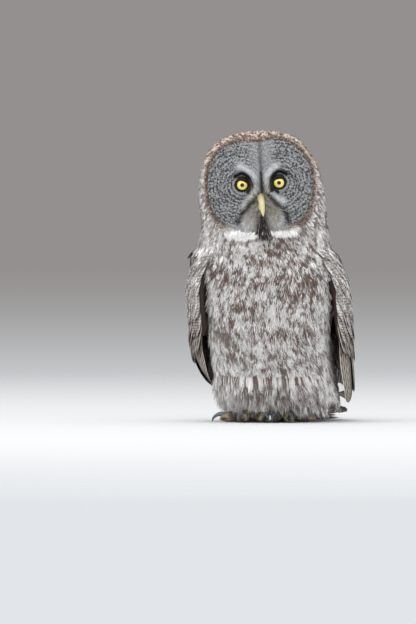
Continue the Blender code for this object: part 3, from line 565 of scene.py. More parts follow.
class MeshMaker:
    """Puts arrays into mesh objects, and gives them their body, slot and replaced nodes."""

    @staticmethod
    def build(
        name: str,
        points: Array,
        faces: Array,
        numbers: dict[str, Array] | None = None,
        maps: dict[str, Array] | None = None,
    ) -> bpy.types.Object:
        """Makes an object from arrays.

        Args:
            name: The object's name.
            points: Vertices in the owl's axes.
            faces: Corner indices, one row a face, all with as many corners.
            numbers: Named numbers for each vertex.
            maps: Named UV places for each vertex.

        Returns:
            The object, at the origin.
        """
        mesh = bpy.data.meshes.new(name)
        corners = faces.shape[1]
        mesh.vertices.add(len(points))
        mesh.vertices.foreach_set("co", ((points + SHIFT) * MM).astype(np.float32).ravel())
        mesh.loops.add(faces.size)
        mesh.loops.foreach_set("vertex_index", faces.astype(np.int32).ravel())
        mesh.polygons.add(len(faces))
        mesh.polygons.foreach_set("loop_start", np.arange(len(faces), dtype=np.int32) * corners)
        mesh.polygons.foreach_set("loop_total", np.full(len(faces), corners, dtype=np.int32))
        mesh.polygons.foreach_set("use_smooth", np.ones(len(faces), dtype=bool))
        mesh.update(calc_edges=True)
        for title, values in (numbers or {}).items():
            layer = mesh.attributes.new(title, "FLOAT", "POINT")
            layer.data.foreach_set("value", np.broadcast_to(values, len(points)).astype(np.float32))
        for title, places in (maps or {}).items():
            layer = mesh.uv_layers.new(name=title)
            layer.data.foreach_set("uv", places[faces.ravel()].astype(np.float32).ravel())
        made = bpy.data.objects.new(name, mesh)
        bpy.context.scene.collection.objects.link(made)
        return made

    @staticmethod
    def settle_in(
        piece: bpy.types.Object, material: bpy.types.Material, slot: Slot, *nodes: str
    ) -> bpy.types.Object:
        """Gives a piece its material, its body and the nodes that it stands for.

        Args:
            piece: The object.
            material: Its finish.
            slot: A material slot; not used.
            nodes: Names of the nodes that it replaces.

        Returns:
            The same object.
        """
        piece.data.materials.append(material)
        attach(piece, ROOT)
        if nodes:
            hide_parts(*nodes)
        triangles = len(piece.data.loops) - 2 * len(piece.data.polygons)
        LOG.info("%s: %d triangles", piece.name, triangles)
        return piece


def grid_faces(rows: int, columns: int, closed: bool = False) -> Array:
    """Faces of a grid of points, row by row, joined around where closed is set."""
    index = np.arange(rows * columns).reshape(rows, columns)
    if closed:
        index = np.concatenate([index, index[:, :1]], axis=1)
    quads = np.stack([index[:-1, :-1], index[:-1, 1:], index[1:, 1:], index[1:, :-1]], axis=-1)
    return quads.reshape(-1, 4)


class Value:
    """A number or colour that flows through a material, with Python's operators as Math nodes."""

    def __init__(self, graph: "Graph", socket: bpy.types.NodeSocket) -> None:
        """Keeps the material's graph and the socket that the value comes out of."""
        self.graph = graph
        self.socket = socket

    def math(self, operation: str, other: "Value | float" = 0.0, swap: bool = False) -> "Value":
        """This value and another through one Math node.

        Args:
            operation: The Math node's operation.
            other: The second value.
            swap: Whether the other comes first.

        Returns:
            The result.
        """
        pair = (other, self) if swap else (self, other)
        return self.graph.add("ShaderNodeMath", {0: pair[0], 1: pair[1]}, operation=operation)

    def __add__(self, other: "Value | float") -> "Value":
        """The sum."""
        return self.math("ADD", other)

    __radd__ = __add__

    def __mul__(self, other: "Value | float") -> "Value":
        """The product."""
        return self.math("MULTIPLY", other)

    __rmul__ = __mul__

    def __sub__(self, other: "Value | float") -> "Value":
        """The difference."""
        return self.math("SUBTRACT", other)

    def __rsub__(self, other: "Value | float") -> "Value":
        """The other less this."""
        return self.math("SUBTRACT", other, swap=True)

    def __truediv__(self, other: "Value | float") -> "Value":
        """The quotient."""
        return self.math("DIVIDE", other)

    def step(self, low: float, high: float) -> "Value":
        """A smooth step from 0 at low to 1 at high."""
        feeds = {0: self, 1: low, 2: high}
        return self.graph.add("ShaderNodeMapRange", feeds, interpolation_type="SMOOTHSTEP")

    def clamp(self) -> "Value":
        """The value kept between 0 and 1."""
        return self.graph.add("ShaderNodeClamp", {0: self})


class Graph:
    """A material's node tree under construction."""

    def __init__(self, name: str) -> None:
        """Starts a material of that name with an empty tree."""
        self.material = bpy.data.materials.new(name)
        self.material.use_nodes = True
        self.tree = self.material.node_tree
        self.tree.nodes.clear()

    def add(
        self, kind: str, feeds: dict | None = None, output: int | str = 0, **settings: object
    ) -> Value:
        """Adds one node.

        Args:
            kind: The node's type.
            feeds: A value or a plain number for each named or numbered input.
            output: The output that is wanted.
            settings: The node's own settings, made first; stops are a ramp's places and colours.

        Returns:
            That output.
        """
        node = self.tree.nodes.new(kind)
        for name, setting in settings.items():
            if name == "stops":
                ramp = node.color_ramp.elements
                for spare, (place, colour) in enumerate(setting):
                    element = ramp[spare] if spare < 2 else ramp.new(place)
                    element.position = place
                    element.color = colour
            else:
                setattr(node, name, setting)
        for key, feed in (feeds or {}).items():
            if isinstance(feed, Value):
                self.tree.links.new(feed.socket, node.inputs[key])
            else:
                node.inputs[key].default_value = feed
        return Value(self, node.outputs[output] if len(node.outputs) else None)

    def number(self, name: str) -> Value:
        """A number that the mesh holds under a name."""
        return self.add("ShaderNodeAttribute", output="Fac", attribute_name=name)

    def split(self, vector: Value) -> tuple[Value, Value, Value]:
        """A vector's three parts."""
        node = self.add("ShaderNodeSeparateXYZ", {0: vector}).socket.node
        return tuple(Value(self, socket) for socket in node.outputs)

    def join(self, x: Value | float, y: Value | float, z: Value | float) -> Value:
        """A vector of three parts."""
        return self.add("ShaderNodeCombineXYZ", {0: x, 1: y, 2: z})

    def place(self) -> Value:
        """Where the surface is, in the piece's own coordinates, in metres."""
        return self.add("ShaderNodeTexCoord", output="Object")

    def uv(self, name: str) -> tuple[Value, Value]:
        """The two places of a named UV map."""
        across, along, _ = self.split(self.add("ShaderNodeUVMap", uv_map=name))
        return across, along

    def noise(self, vector: Value, scale: float, detail: float = 2.0, rough: float = 0.5) -> Value:
        """Smooth noise from about 0.2 to 0.8."""
        feeds = {"Vector": vector, "Scale": scale, "Detail": detail, "Roughness": rough}
        return self.add("ShaderNodeTexNoise", feeds)

    def mix(self, factor: Value | float, first: Value | Colour, second: Value | Colour) -> Value:
        """A colour between two: the first at 0, the second at 1."""
        feeds = {0: factor, 6: first, 7: second}
        return self.add("ShaderNodeMix", feeds, output=2, data_type="RGBA")

    def scale(self, colour: Value, factor: Value | float) -> Value:
        """A colour made brighter or darker."""
        return self.add("ShaderNodeVectorMath", {0: colour, "Scale": factor}, operation="SCALE")

    def bump(self, height: Value, strength: float, distance: float) -> Value:
        """A bumpy normal from a height."""
        feeds = {"Height": height, "Strength": strength, "Distance": distance}
        return self.add("ShaderNodeBump", feeds)

    def surface(self, feeds: dict) -> bpy.types.Material:
        """Ends the tree with one Principled shader.

        Args:
            feeds: Values for its inputs.

        Returns:
            The material.
        """
        shader = self.add("ShaderNodeBsdfPrincipled", feeds)
        self.add("ShaderNodeOutputMaterial", {"Surface": shader})
        return self.material


@dataclass(frozen=True)
class PlumageFinish:
    """Soft feathers: pale ground, dark marks, bars across each feather and a streaky grain."""

    name: str
    pale: Colour = rgb(200, 199, 198)
    white: Colour = rgb(252, 252, 251)
    cool: Colour = rgb(58, 55, 55)
    warm: Colour = rgb(118, 97, 86)
    period: float = 3.4
    wander: float = 2.4
    grain: float = 0.7
    streak: float = 0.5

    def make(self) -> bpy.types.Material:
        """Builds the material.

        The dark share is ink plus bars plus a shaft streak plus grain, where bars are a smooth step
        of the sine of the way along the feather, pushed about by noise.
        """
        graph = Graph(self.name)
        across, along = graph.uv("Vane")
        seed = graph.number("tone")
        lane = graph.join(across * 2.6 + seed * 91.0, along * 1.1 + seed * 37.0, seed * 13.0)
        grain = graph.noise(lane, 1.9, 3.0, 0.6)
        wave = (along * (10.0 * TURN / self.period) + grain * self.wander * 2.0 + seed * TURN).math("SINE")
        bars = wave.step(-0.35, 0.35) * graph.number("bar")
        streak = 1.0 - (across - 0.5).math("ABSOLUTE").step(0.03, 0.20)
        bars = bars + streak * graph.number("bar") * self.streak
        ink = graph.number("ink") + bars * 0.85 + (grain - 0.5) * self.grain
        ink = ink.clamp()
        ground = graph.mix(graph.number("white"), self.pale, self.white)
        dark = graph.mix(graph.number("warm"), self.cool, self.warm)
        colour = graph.mix(ink, ground, dark)
        colour = graph.scale(colour, seed * 0.34 + 0.83)
        return graph.surface(
            {
                "Base Color": colour,
                "Roughness": 0.85,
                "Specular IOR Level": 0.18,
                "Normal": graph.bump(grain, 0.35, 0.0006),
            }
        )


@dataclass(frozen=True)
class DiscFinish:
    """The facial disc: fine dark rings around each eye on grey, broken by noise."""

    name: str
    pale: Colour = rgb(176, 178, 180)
    grey: Colour = rgb(44, 45, 48)
    white: Colour = rgb(226, 231, 235)
    black: Colour = rgb(14, 13, 13)
    period: float = 5.2

    def make(self) -> bpy.types.Material:
        """Builds the material.

        The rings are a smooth step of the sine of the distance to the nearer eye over the period,
        with noise added to the distance. Away from the eye they break up into specks.
        """
        graph = Graph(self.name)
        x, y, z = graph.split(graph.place())
        across, along = graph.uv("Vane")
        seed = graph.number("tone")
        middle = (DISC_CENTRE[0] + SHIFT[0]) * MM
        side = (x - middle).step(-0.002, 0.002)
        ways = []
        for eye_x, eye_z in EYES.values():
            off_x = x - (eye_x + SHIFT[0]) * MM
            off_z = z - eye_z * MM
            ways.append((off_x * off_x + off_z * off_z).math("SQRT"))
        way = ways[0] * (1.0 - side) + ways[1] * side
        wander = graph.noise(graph.place(), 170.0, 3.0, 0.6)
        wave = (way * (TURN / self.period / MM) + wander * 13.0 + seed * 2.6).math("SINE")
        broken = graph.noise(graph.place(), 400.0, 3.0, 0.75)
        near = 1.0 - way.step(0.016, 0.040)
        rings = wave * (near * 0.35 + 0.32) + (broken - 0.5) * 5.2 + (seed - 0.5) * 0.9
        rings = (rings + 0.05).step(-0.40, 0.40)
        lane = graph.join(across * 2.6 + seed * 91.0, along * 1.6 + seed * 37.0, seed * 13.0)
        grain = graph.noise(lane, 2.0, 3.0, 0.6)
        dark = (rings * graph.number("bar") + (grain - 0.5) * 0.9).clamp()
        colour = graph.mix(dark, self.pale, self.grey)
        colour = graph.mix((graph.number("white") + (grain - 0.5) * 0.6).clamp(), colour, self.white)
        colour = graph.mix((graph.number("ink") + (grain - 0.5) * 0.5).clamp(), colour, self.black)
        colour = graph.mix((graph.number("warm") * 0.9).clamp(), colour, rgb(92, 72, 60))
        colour = graph.scale(colour, seed * 0.44 + 0.76)
        return graph.surface(
            {
                "Base Color": colour,
                "Roughness": 0.85,
                "Specular IOR Level": 0.15,
                "Normal": graph.bump(grain, 0.3, 0.0005),
            }
        )


@dataclass(frozen=True)
class FlightFinish:
    """Wing and tail feathers: brown-grey webs with broad mottled bars, a dark shaft and pale edges."""

    name: str
    ground: Colour = rgb(156, 146, 137)
    dark: Colour = rgb(58, 50, 45)
    edge: Colour = rgb(226, 215, 202)
    period: float = 15.0
    fine: float = 0.5

    def make(self) -> bpy.types.Material:
        """Builds the material.

        Bars are a smooth step of the sine of the way along, pushed by noise; fine wavy lines lie
        over them; a band beside the web's border and the last part of the tip are pale.
        """
        graph = Graph(self.name)
        across, along = graph.uv("Vane")
        seed = graph.number("tone")
        span = graph.number("span")
        lane = graph.join(across * 1.2 + seed * 91.0, along * 0.9 + seed * 37.0, seed * 13.0)
        cloud = graph.noise(lane, 2.2, 3.0, 0.6)
        speck = graph.noise(graph.join(across * 5.0 + seed * 41.0, along * 3.2, seed * 7.0), 3.0, 3.0, 0.65)
        middle = (across - 0.44).math("ABSOLUTE")
        wave = (along * (10.0 * TURN / self.period) + cloud * 3.0 + middle * 3.0 + seed * TURN).math("SINE")
        bars = wave.step(-0.25, 0.45)
        ripple = (along * (10.0 * TURN / 3.1) + speck * 9.0).math("SINE").step(-0.1, 0.6)
        ink = (bars * 0.62 + ripple * self.fine * 0.5 + (speck - 0.5) * 0.9 + 0.12).clamp()
        colour = graph.mix(ink, self.ground, self.dark)
        border = (across - 0.5).math("ABSOLUTE").step(0.37, 0.47)
        tip = span.step(0.92, 1.0)
        pale = (border * 0.9 + tip * 0.8 - (speck - 0.4) * 0.5).clamp()
        colour = graph.mix(pale, colour, self.edge)
        shaft = 1.0 - middle.step(0.018, 0.045)
        colour = graph.mix(shaft * 0.85, colour, rgb(46, 36, 30))
        colour = graph.scale(colour, seed * 0.3 + 0.85)
        barb = (along * (10.0 * TURN / 0.9) + middle * 30.0).math("SINE")
        return graph.surface(
            {
                "Base Color": colour,
                "Roughness": 0.62,
                "Specular IOR Level": 0.3,
                "Normal": graph.bump(barb + shaft * 3.0, 0.25, 0.0004),
            }
        )


@dataclass(frozen=True)
class HornFinish:
    """Bill or claw horn: one colour at the root, another at the tip, with streaks along it."""

    name: str
    root: Colour
    middle: Colour
    tip: Colour
    roughness: float = 0.34

    def make(self) -> bpy.types.Material:
        """Builds the material from the way along the horn, stored as a number from 0 to 1."""
        graph = Graph(self.name)
        x, y, z = graph.split(graph.place())
        streak = graph.noise(graph.join(x * 900.0, y * 260.0, z * 120.0), 1.0, 3.0, 0.6)
        cloud = graph.noise(graph.place(), 240.0, 2.0, 0.5)
        along = (graph.number("span") + (cloud - 0.5) * 0.22).clamp()
        stops = ((0.0, self.root), (1.0, self.tip), (0.45, self.middle))
        colour = graph.add("ShaderNodeValToRGB", {0: along}, stops=stops)
        colour = graph.scale(colour, streak * 0.5 + 0.74)
        return graph.surface(
            {
                "Base Color": colour,
                "Roughness": self.roughness,
                "Coat Weight": 0.25,
                "Normal": graph.bump(streak, 0.25, 0.0003),
            }
        )


@dataclass(frozen=True)
class EyeFinish:
    """The eyeball: black pupil, yellow iris with fine spokes, dark border, under a wet surface."""

    name: str
    yellow: Colour = rgb(243, 230, 126)
    deep: Colour = rgb(214, 190, 84)
    pupil: float = 0.36

    def make(self) -> bpy.types.Material:
        """Builds the material from the distance to the gaze, 1 at the iris's border."""
        graph = Graph(self.name)
        ring = graph.number("ring")
        spoke = graph.join(graph.number("spoke_x") * 5.0, graph.number("spoke_y") * 5.0, ring * 1.2)
        spokes = graph.noise(spoke, 3.0, 3.0, 0.6)
        shade = (spokes - 0.5) * 1.2 + ring.step(0.75, 1.0) * 0.7
        iris = graph.mix(shade.clamp(), self.yellow, self.deep)
        iris = graph.mix((ring + (spokes - 0.5) * 0.05).step(0.93, 1.02), iris, rgb(20, 16, 12))
        colour = graph.mix(ring.step(self.pupil - 0.02, self.pupil + 0.03), rgb(4, 4, 5), iris)
        return graph.surface(
            {
                "Base Color": colour,
                "Roughness": 0.35,
                "Specular IOR Level": 0.1,
                "Coat Weight": 0.75,
                "Coat Roughness": 0.02,
            }
        )


@dataclass(frozen=True)
class SkinFinish:
    """Plain skin with fine wrinkles, or the ground under the coat with the coat's own marks and painted shade."""

    name: str
    pale: Colour = rgb(190, 187, 184)
    dark: Colour = rgb(70, 60, 54)
    scale: float = 300.0

    def make(self) -> bpy.types.Material:
        """Builds the material from ink and white, with noise on both colour and height."""
        graph = Graph(self.name)
        grain = graph.noise(graph.place(), self.scale, 4.0, 0.65)
        ink = (graph.number("ink") + (grain - 0.5) * 0.8).clamp()
        colour = graph.mix(graph.number("white"), self.pale, rgb(238, 238, 236))
        colour = graph.mix(ink, colour, self.dark)
        return graph.surface(
            {
                "Base Color": colour,
                "Roughness": 0.7,
                "Specular IOR Level": 0.25,
                "Normal": graph.bump(grain, 0.5, 0.0008),
            }
        )


@dataclass
class Growth:
    """A field of tufts: roots with their directions and sizes, one row for each."""

    roots: Array
    normals: Array
    lie: Array
    length: Array
    half_width: Array
    depth: Array
    low: float = 0.2
    swirl: float = 0.12
    lift: float = 1.0
    cup: float = 0.12
    droop: float = 0.0
    bend: float = 0.10

    def spread(
        self,
        shape: TuftShape,
        settle: Callable[[Array], tuple[Array, Array]],
        random: np.random.Generator,
    ) -> Array:
        """Grows every tuft from one shape.

        A vertex starts at root + T * l + S * w, with T the lie in the surface, S the side, l and w
        its places in the shape times the tuft's sizes, is settled on the surface, and is then moved
        along the normal by depth * (low + (1 - low) * s^0.7 - 1) + lift * noise - cup * w^2.

        Args:
            shape: The tuft's shape.
            settle: Puts points on the surface and gives the outward directions.
            random: The source of variation.

        Returns:
            Points, one row a tuft and one column a vertex.
        """
        count = len(self.roots)
        tangent = unit(self.lie - self.normals * (self.lie * self.normals).sum(axis=1, keepdims=True))
        side = np.cross(tangent, self.normals)
        turn = random.normal(0.0, self.swirl, count)[:, None]
        turn = turn + 1.3 * (noise(self.roots, 26.0, 5) - 0.5)[:, None] * self.swirl * 3.0
        tangent, side = (
            tangent * np.cos(turn) + side * np.sin(turn),
            side * np.cos(turn) - tangent * np.sin(turn),
        )
        parts = int(shape.part.max()) + 1
        reach = 1.0 + random.uniform(-0.14, 0.14, (count, parts))[:, shape.part] * shape.along
        ahead = shape.along * reach * self.length[:, None]
        bent = random.normal(0.0, self.bend, count)[:, None] * shape.along**2 * self.length[:, None]
        beside = shape.across * self.half_width[:, None] + bent
        flat = self.roots[:, None] + tangent[:, None] * ahead[..., None] + side[:, None] * beside[..., None]
        settled, outward = settle(flat.reshape(-1, 3))
        rise = self.low + (1.0 - self.low) * shape.along**0.7 - 1.0 - self.droop * shape.along**3
        loose = random.uniform(-0.5, 0.5, (count, parts))[:, shape.part] * shape.along
        loose = loose + random.uniform(-0.6, 0.6, count)[:, None] * shape.along**2
        height = self.depth[:, None] * rise + self.lift * loose
        height = height - self.cup * shape.across**2 * self.half_width[:, None]
        points = settled + outward * height.reshape(-1, 1)
        points[:, 2] = np.maximum(points[:, 2], 0.4)
        return points.reshape(count, -1, 3)


def tuft_piece(
    name: str,
    points: Array,
    shape: TuftShape,
    home: Array,
    marks: Marks,
    length: Array,
    random: np.random.Generator,
    extra: dict[str, Array] | None = None,
) -> bpy.types.Object:
    """Makes one object of many tufts, with their marks and maps.

    Args:
        name: The object's name.
        points: Points, tuft by vertex.
        shape: The shape that the tufts share.
        home: Each root's place on the unwrap of the skin, from 0 to 1.
        marks: The markings, tuft by vertex or one a tuft.
        length: Each tuft's length.
        random: The source of each tuft's tone.
        extra: Further numbers, tuft by vertex.

    Returns:
        The object.
    """
    count, vertices = points.shape[:2]
    faces = (np.arange(count)[:, None, None] * vertices + shape.faces).reshape(-1, 4)
    total = count * vertices

    def spread(values: Array) -> Array:
        values = np.asarray(values, float)
        values = values[:, None] if values.ndim == 1 else values
        return np.broadcast_to(values, (count, vertices)).reshape(total)

    numbers = {
        "ink": spread(marks.ink),
        "white": spread(marks.white),
        "warm": spread(marks.warm),
        "bar": spread(marks.bar),
        "tone": spread(random.random(count)),
    }
    for title, values in (extra or {}).items():
        numbers[title] = spread(values)
    along = np.broadcast_to(shape.along, (count, vertices))
    across = np.broadcast_to(shape.across, (count, vertices))
    vane_map = np.stack([across * 0.5 + 0.5, along * length[:, None] / 10.0], axis=-1)
    patch = np.stack([across * 0.0015, (along - 0.5) * 0.003], axis=-1)
    bake_map = np.clip(home, 0.004, 0.996)[:, None] + patch
    maps = {"Vane": vane_map.reshape(total, 2), "OFBake": bake_map.reshape(total, 2)}
    return MeshMaker.build(name, points.reshape(total, 3), faces, numbers, maps)


EYE_INK = (
    (((-48.0, 356.0), (-38.0, 360.0), (-28.5, 354.0), (-25.0, 343.0), (-29.5, 333.5)), 3.3),
    (((5.0, 336.0), (4.0, 345.0), (7.3, 357.0), (16.0, 363.5), (26.0, 360.0)), 3.3),
    (((5.8, 340.0), (14.5, 333.0)), 2.2),
)
FACE_INK = (
    (((-12.4, 404.0), (-11.6, 380.0), (-10.6, 362.0)), (3.6, 2.6), 0.55),
    (((-10.6, 362.0), (-9.8, 348.0), (-9.2, 334.0)), (2.6, 4.2), 0.95),
    (((-13.0, 331.0), (-24.0, 318.0), (-36.0, 304.0), (-44.0, 289.0)), (3.4, 3.6), 0.85),
    (((-3.0, 331.0), (10.0, 319.0), (24.0, 304.5), (30.0, 290.0)), (3.4, 3.6), 0.85),
)
BIB = ((-8.7, 300.0), (-8.2, 288.0), (-7.0, 275.0))
BOWS = (((-60.0, 279.0), (-42.0, 270.5), (-20.0, 272.0)), ((11.0, 275.0), (27.0, 273.0), (41.0, 279.0)))
BOW_SPOTS = ((-38.5, 271.5, 23.0, 5.4), (22.5, 274.5, 18.5, 3.6))


class Markings:
    """Where the plumage is dark, white, brown or barred, as functions of the place on the owl."""

    def __init__(self, body: BodyShape) -> None:
        """Keeps the body's shape, which tells front from back."""
        self.body = body

    def face(self, x: Array, z: Array) -> Marks:
        """Marks of the facial disc, from brush strokes and bells set out on the face.

        Args:
            x: Places across.
            z: Places upward.

        Returns:
            The marks; bar is the strength of the rings.
        """
        share, _ = disc_share(x, z)
        ink = np.zeros_like(x)
        for path, width in EYE_INK:
            ink = np.maximum(ink, stroke(x, z, path, width) * 1.25)
        for path, width, strength in FACE_INK:
            ink = np.maximum(ink, stroke(x, z, path, width) * strength)
        white = np.zeros_like(x)
        for brow in BROWS:
            white = np.maximum(white, 0.66 * stroke(x, z, brow, (6.5, 4.8)))
        near = np.full_like(x, 99.0)
        for eye_x, eye_z in EYES.values():
            size = np.hypot(x - eye_x, z - eye_z)
            inward = math.copysign(0.78, -eye_x)
            toward = ((x - eye_x) * inward + (z - eye_z) * 0.62) / np.maximum(size, 1e-6)
            patch = smooth(-0.35, 0.25, toward) * smooth(15.5, 12.0, size)
            ink = np.maximum(ink, patch)
            near = np.minimum(near, size)
        ink = np.maximum(ink, bell(near - 6.0, 3.4))
        lobes = np.zeros_like(x)
        for lobe_x, lobe_z, size in WHISKER_LOBES:
            lobes = np.maximum(lobes, smooth(1.35, 0.75, np.hypot(x - lobe_x, (z - lobe_z) * 0.85) / size))
        low = smooth(306.0, 284.0, z)
        white = np.maximum(white, lobes * (0.10 + 0.34 * low))
        ink = np.maximum(ink * (1.0 - lobes * 0.7), stroke(x, z, BIB, (4.5, 11.0)) * 0.97)
        bill = bell(np.hypot((x + 9.5) / 1.2, (z - 319.0) / 2.0), 7.0)
        ink = np.maximum(ink, bill * 0.62)
        rim = smooth(0.955, 0.995, share) * smooth(282.0, 290.0, z)
        ink = np.maximum(ink, rim * 0.62 * smooth(0.40, 0.58, noise(np.stack([x, 0.0 * x, z], axis=-1), 2.6, 14)))
        ink = np.clip(ink, 0.0, 1.0)
        rings = (1.0 - white) * (1.0 - lobes) * smooth(9.0, 16.0, near) * (0.4 + 0.6 * smooth(281.0, 290.0, z))
        rings = rings * (0.55 + 0.45 * smooth(8.0, 26.0, np.abs(x + 11.0)))
        warm = np.maximum(rim * 0.6, 0.35 * lobes * (1.0 - low))
        return Marks(ink, white * (1.0 - ink), warm, np.clip(rings, 0.0, 1.0))

    def clouds(self, points: Array, seed: int) -> Array:
        """Upright clouds: three layers of noise, each finer and weaker than the one before."""
        layers = ((0.46, (5.4, 5.6, 11.0)), (0.32, (3.0, 3.2, 6.2)), (0.22, (1.7, 1.7, 3.6)))
        return sum(share * noise(points, size, seed + i) for i, (share, size) in enumerate(layers))

    def leaning(self, points: Array) -> Array:
        """Places turned by SLANT about Y, in which a slanted mark stands upright."""
        x, y, z = points[..., 0], points[..., 1], points[..., 2]
        cosine, sine = math.cos(SLANT), math.sin(SLANT)
        return np.stack([x * cosine + z * sine, y, z * cosine - x * sine], axis=-1)

    def coat(self, points: Array, jitter: Array | float = 0.0) -> Marks:
        """Marks of the coat outside the disc.

        Args:
            points: Places on the body.
            jitter: From -0.5 to 0.5 for each place: how much darker that strand is than its place.

        Returns:
            The marks; bar is the strength of the bars across each feather.
        """
        x, y, z = points[..., 0], points[..., 1], points[..., 2]
        row = self.body.level(z)
        front = smooth(-0.15, 0.45, (row[..., 1] - y) / row[..., 6])
        share, _ = disc_share(x, z)
        aside = smooth(0.5, 0.95, np.abs(x - row[..., 0]) / row[..., 7]) * front
        slant = smooth(195.0, 110.0, z) * front
        clouds = self.clouds(points, 1) * (1.0 - slant) + self.clouds(self.leaning(points), 51) * slant
        broad = noise(points, 34.0, 3)
        clouds = clouds + (broad - 0.5) * 0.14 + jitter * 0.36 - 0.03 * aside
        amount = np.interp(z, (20.0, 60.0, 110.0, 200.0, 262.0, 300.0), (0.7, 0.78, 0.9, 1.0, 0.9, 0.6))
        amount = amount * (1.0 - 0.25 * aside)
        blotch = smooth(0.43, 0.60, clouds) * amount
        fleck = noise(points, (3.0, 3.0, 4.0), 4) + jitter * 0.40
        head = smooth(262.0, 300.0, z)
        crown = smooth(360.0, 400.0, z)
        ink_front = blotch * (1.0 - head) + head * (0.05 + 0.62 * smooth(0.47, 0.62, fleck))
        ink_back = 0.14 + 0.46 * smooth(0.42, 0.62, clouds)
        ink = ink_front * front + ink_back * (1.0 - front)
        ink = ink + crown * (0.10 + 0.25 * smooth(0.45, 0.62, fleck))
        rim = bell((share - 1.015) / 0.03, 1.0) * front * smooth(255.0, 275.0, z)
        dark_rim = rim * (0.35 + 0.65 * smooth(40.0, -20.0, x)) * (0.35 + 0.65 * smooth(0.35, 0.6, fleck))
        corner = stroke(x, z, ((33.0, 280.0), (48.0, 289.0), (58.0, 300.0)), 7.0)
        corner = np.maximum(corner, stroke(x, z, ((-62.0, 284.0), (-74.0, 296.0), (-84.0, 315.0)), 5.5))
        ink = np.maximum(ink, dark_rim * 0.85)
        ink = np.maximum(ink, corner * front * 0.85)
        white = (0.30 * front + 0.2) * (1.0 - blotch) + 0.45 * head * smooth(0.52, 0.38, fleck)
        white = white + 0.5 * aside * (1.0 - blotch)
        low = smooth(120.0, 40.0, z) * front
        white = white + 0.25 * low
        for bow in BOWS:
            bright = stroke(x, z, bow, (5.0, 6.0)) * front * 1.35
            ink = ink * (1.0 - np.clip(bright, 0.0, 1.0))
            white = np.maximum(white, bright)
        bib = stroke(x, z, BIB, (4.5, 10.5)) * front * 1.1
        ink = np.maximum(ink, bib)
        white = white * (1.0 - np.clip(bib, 0.0, 1.0))
        throat = bell(x + 6.0, 14.0) * bell(z - 256.0, 10.0) * front
        ink = ink + throat * 0.25
        warm = 0.75 + 0.25 * (broad - 0.5) - 0.85 * bib - 0.6 * throat
        bars = head * 0.55 + (1.0 - front) * 0.6 + low * 0.25
        bars = bars * (1.0 - np.clip(bib + white, 0.0, 1.0) * 0.8)
        clip = np.clip
        return Marks(clip(ink, 0.0, 1.0), clip(white, 0.0, 1.0), clip(warm, 0.0, 1.0), clip(bars, 0.0, 1.0))


def strand_marks(markings: Markings, points: Array, shape: TuftShape, random: np.random.Generator) -> Marks:
    """The coat's marks strand by strand: each tuft's place, with a random shift for every strand.

    Toward its root a strand is darker, by 0.4 * (1 - s)^2, as if in the shade of those above it.

    Args:
        markings: The markings.
        points: Points, tuft by vertex.
        shape: The tufts' shape.
        random: The source of the shifts.

    Returns:
        The marks, tuft by vertex.
    """
    tips = points[:, shape.along > 0.45].mean(axis=1)
    parts = int(shape.part.max()) + 1
    jitter = random.uniform(-0.5, 0.5, (len(points), parts)) * 0.75
    jitter = jitter + random.uniform(-0.5, 0.5, len(points))[:, None] * 0.6
    marks = markings.coat(np.repeat(tips[:, None], parts, axis=1), jitter)
    ink = marks.ink[:, shape.part] + 0.4 * (1.0 - shape.along) ** 2 * (marks.ink[:, shape.part] < 0.99)
    white = marks.white[:, shape.part] * (0.75 + 0.25 * shape.along)
    return Marks(np.clip(ink, 0.0, 1.0), white, marks.warm[:, shape.part], marks.bar[:, shape.part])


class Facing(Enum):
    """Which part of a band of the body a patch of the coat covers."""

    ROUND = "round"
    FRONT = "front"
    BACK = "back"


@dataclass(frozen=True)
class Patch:
    """A patch of the coat: its band of the body and its tufts' sizes at the bottom and the top."""

    name: str
    slot: Slot
    bottom: float
    top: float
    facing: Facing
    spacing: float
    length: tuple[float, float]
    half_width: tuple[float, float]
    depth: tuple[float, float]
    shape: TuftShape
    low: float = 0.2
    swirl: float = 0.16
    lift: float = 1.6


SMALL_VANE = vane(5, 4, 0.22)
BACK_VANE = vane(7, 5, 0.16)
BODY_PLUME = plume(5)
PATCHES = (
    Patch("crown_coat", Slot.CROWN, 372.0, 423.0, Facing.ROUND, 2.3, (11.0, 8.0), (1.9, 1.6), (4.6, 3.8), SMALL_VANE),
    Patch("nape_coat", Slot.BACK, 286.0, 372.0, Facing.BACK, 3.2, (17.0, 13.0), (3.1, 2.3), (6.5, 5.0), SMALL_VANE),
    Patch("cheek_coat", Slot.BODY, 286.0, 372.0, Facing.FRONT, 2.4, (14.0, 12.0), (2.3, 2.0), (6.0, 5.0), SMALL_VANE),
    Patch("throat_coat", Slot.BODY, 226.0, 286.0, Facing.FRONT, 2.7, (20.0, 15.0), (3.4, 2.9), (8.0, 6.0), BODY_PLUME),
    Patch("breast_coat", Slot.BODY, 148.0, 226.0, Facing.FRONT, 2.85, (24.0, 21.0), (3.9, 3.5), (8.5, 8.0), BODY_PLUME),
    Patch("flank_coat", Slot.BODY, 80.0, 148.0, Facing.FRONT, 2.9, (26.0, 24.0), (4.2, 3.9), (9.0, 8.5), BODY_PLUME),
    Patch("belly_coat", Slot.BODY, 11.5, 80.0, Facing.FRONT, 3.0, (22.0, 26.0), (3.8, 4.2), (8.0, 9.0), BODY_PLUME),
    Patch("mantle_coat", Slot.BACK, 160.0, 286.0, Facing.BACK, 4.7, (32.0, 19.0), (7.4, 4.2), (8.5, 7.0), BACK_VANE),
    Patch("back_coat", Slot.BACK, 12.0, 160.0, Facing.BACK, 5.2, (30.0, 34.0), (7.0, 7.6), (8.0, 8.5), BACK_VANE),
)


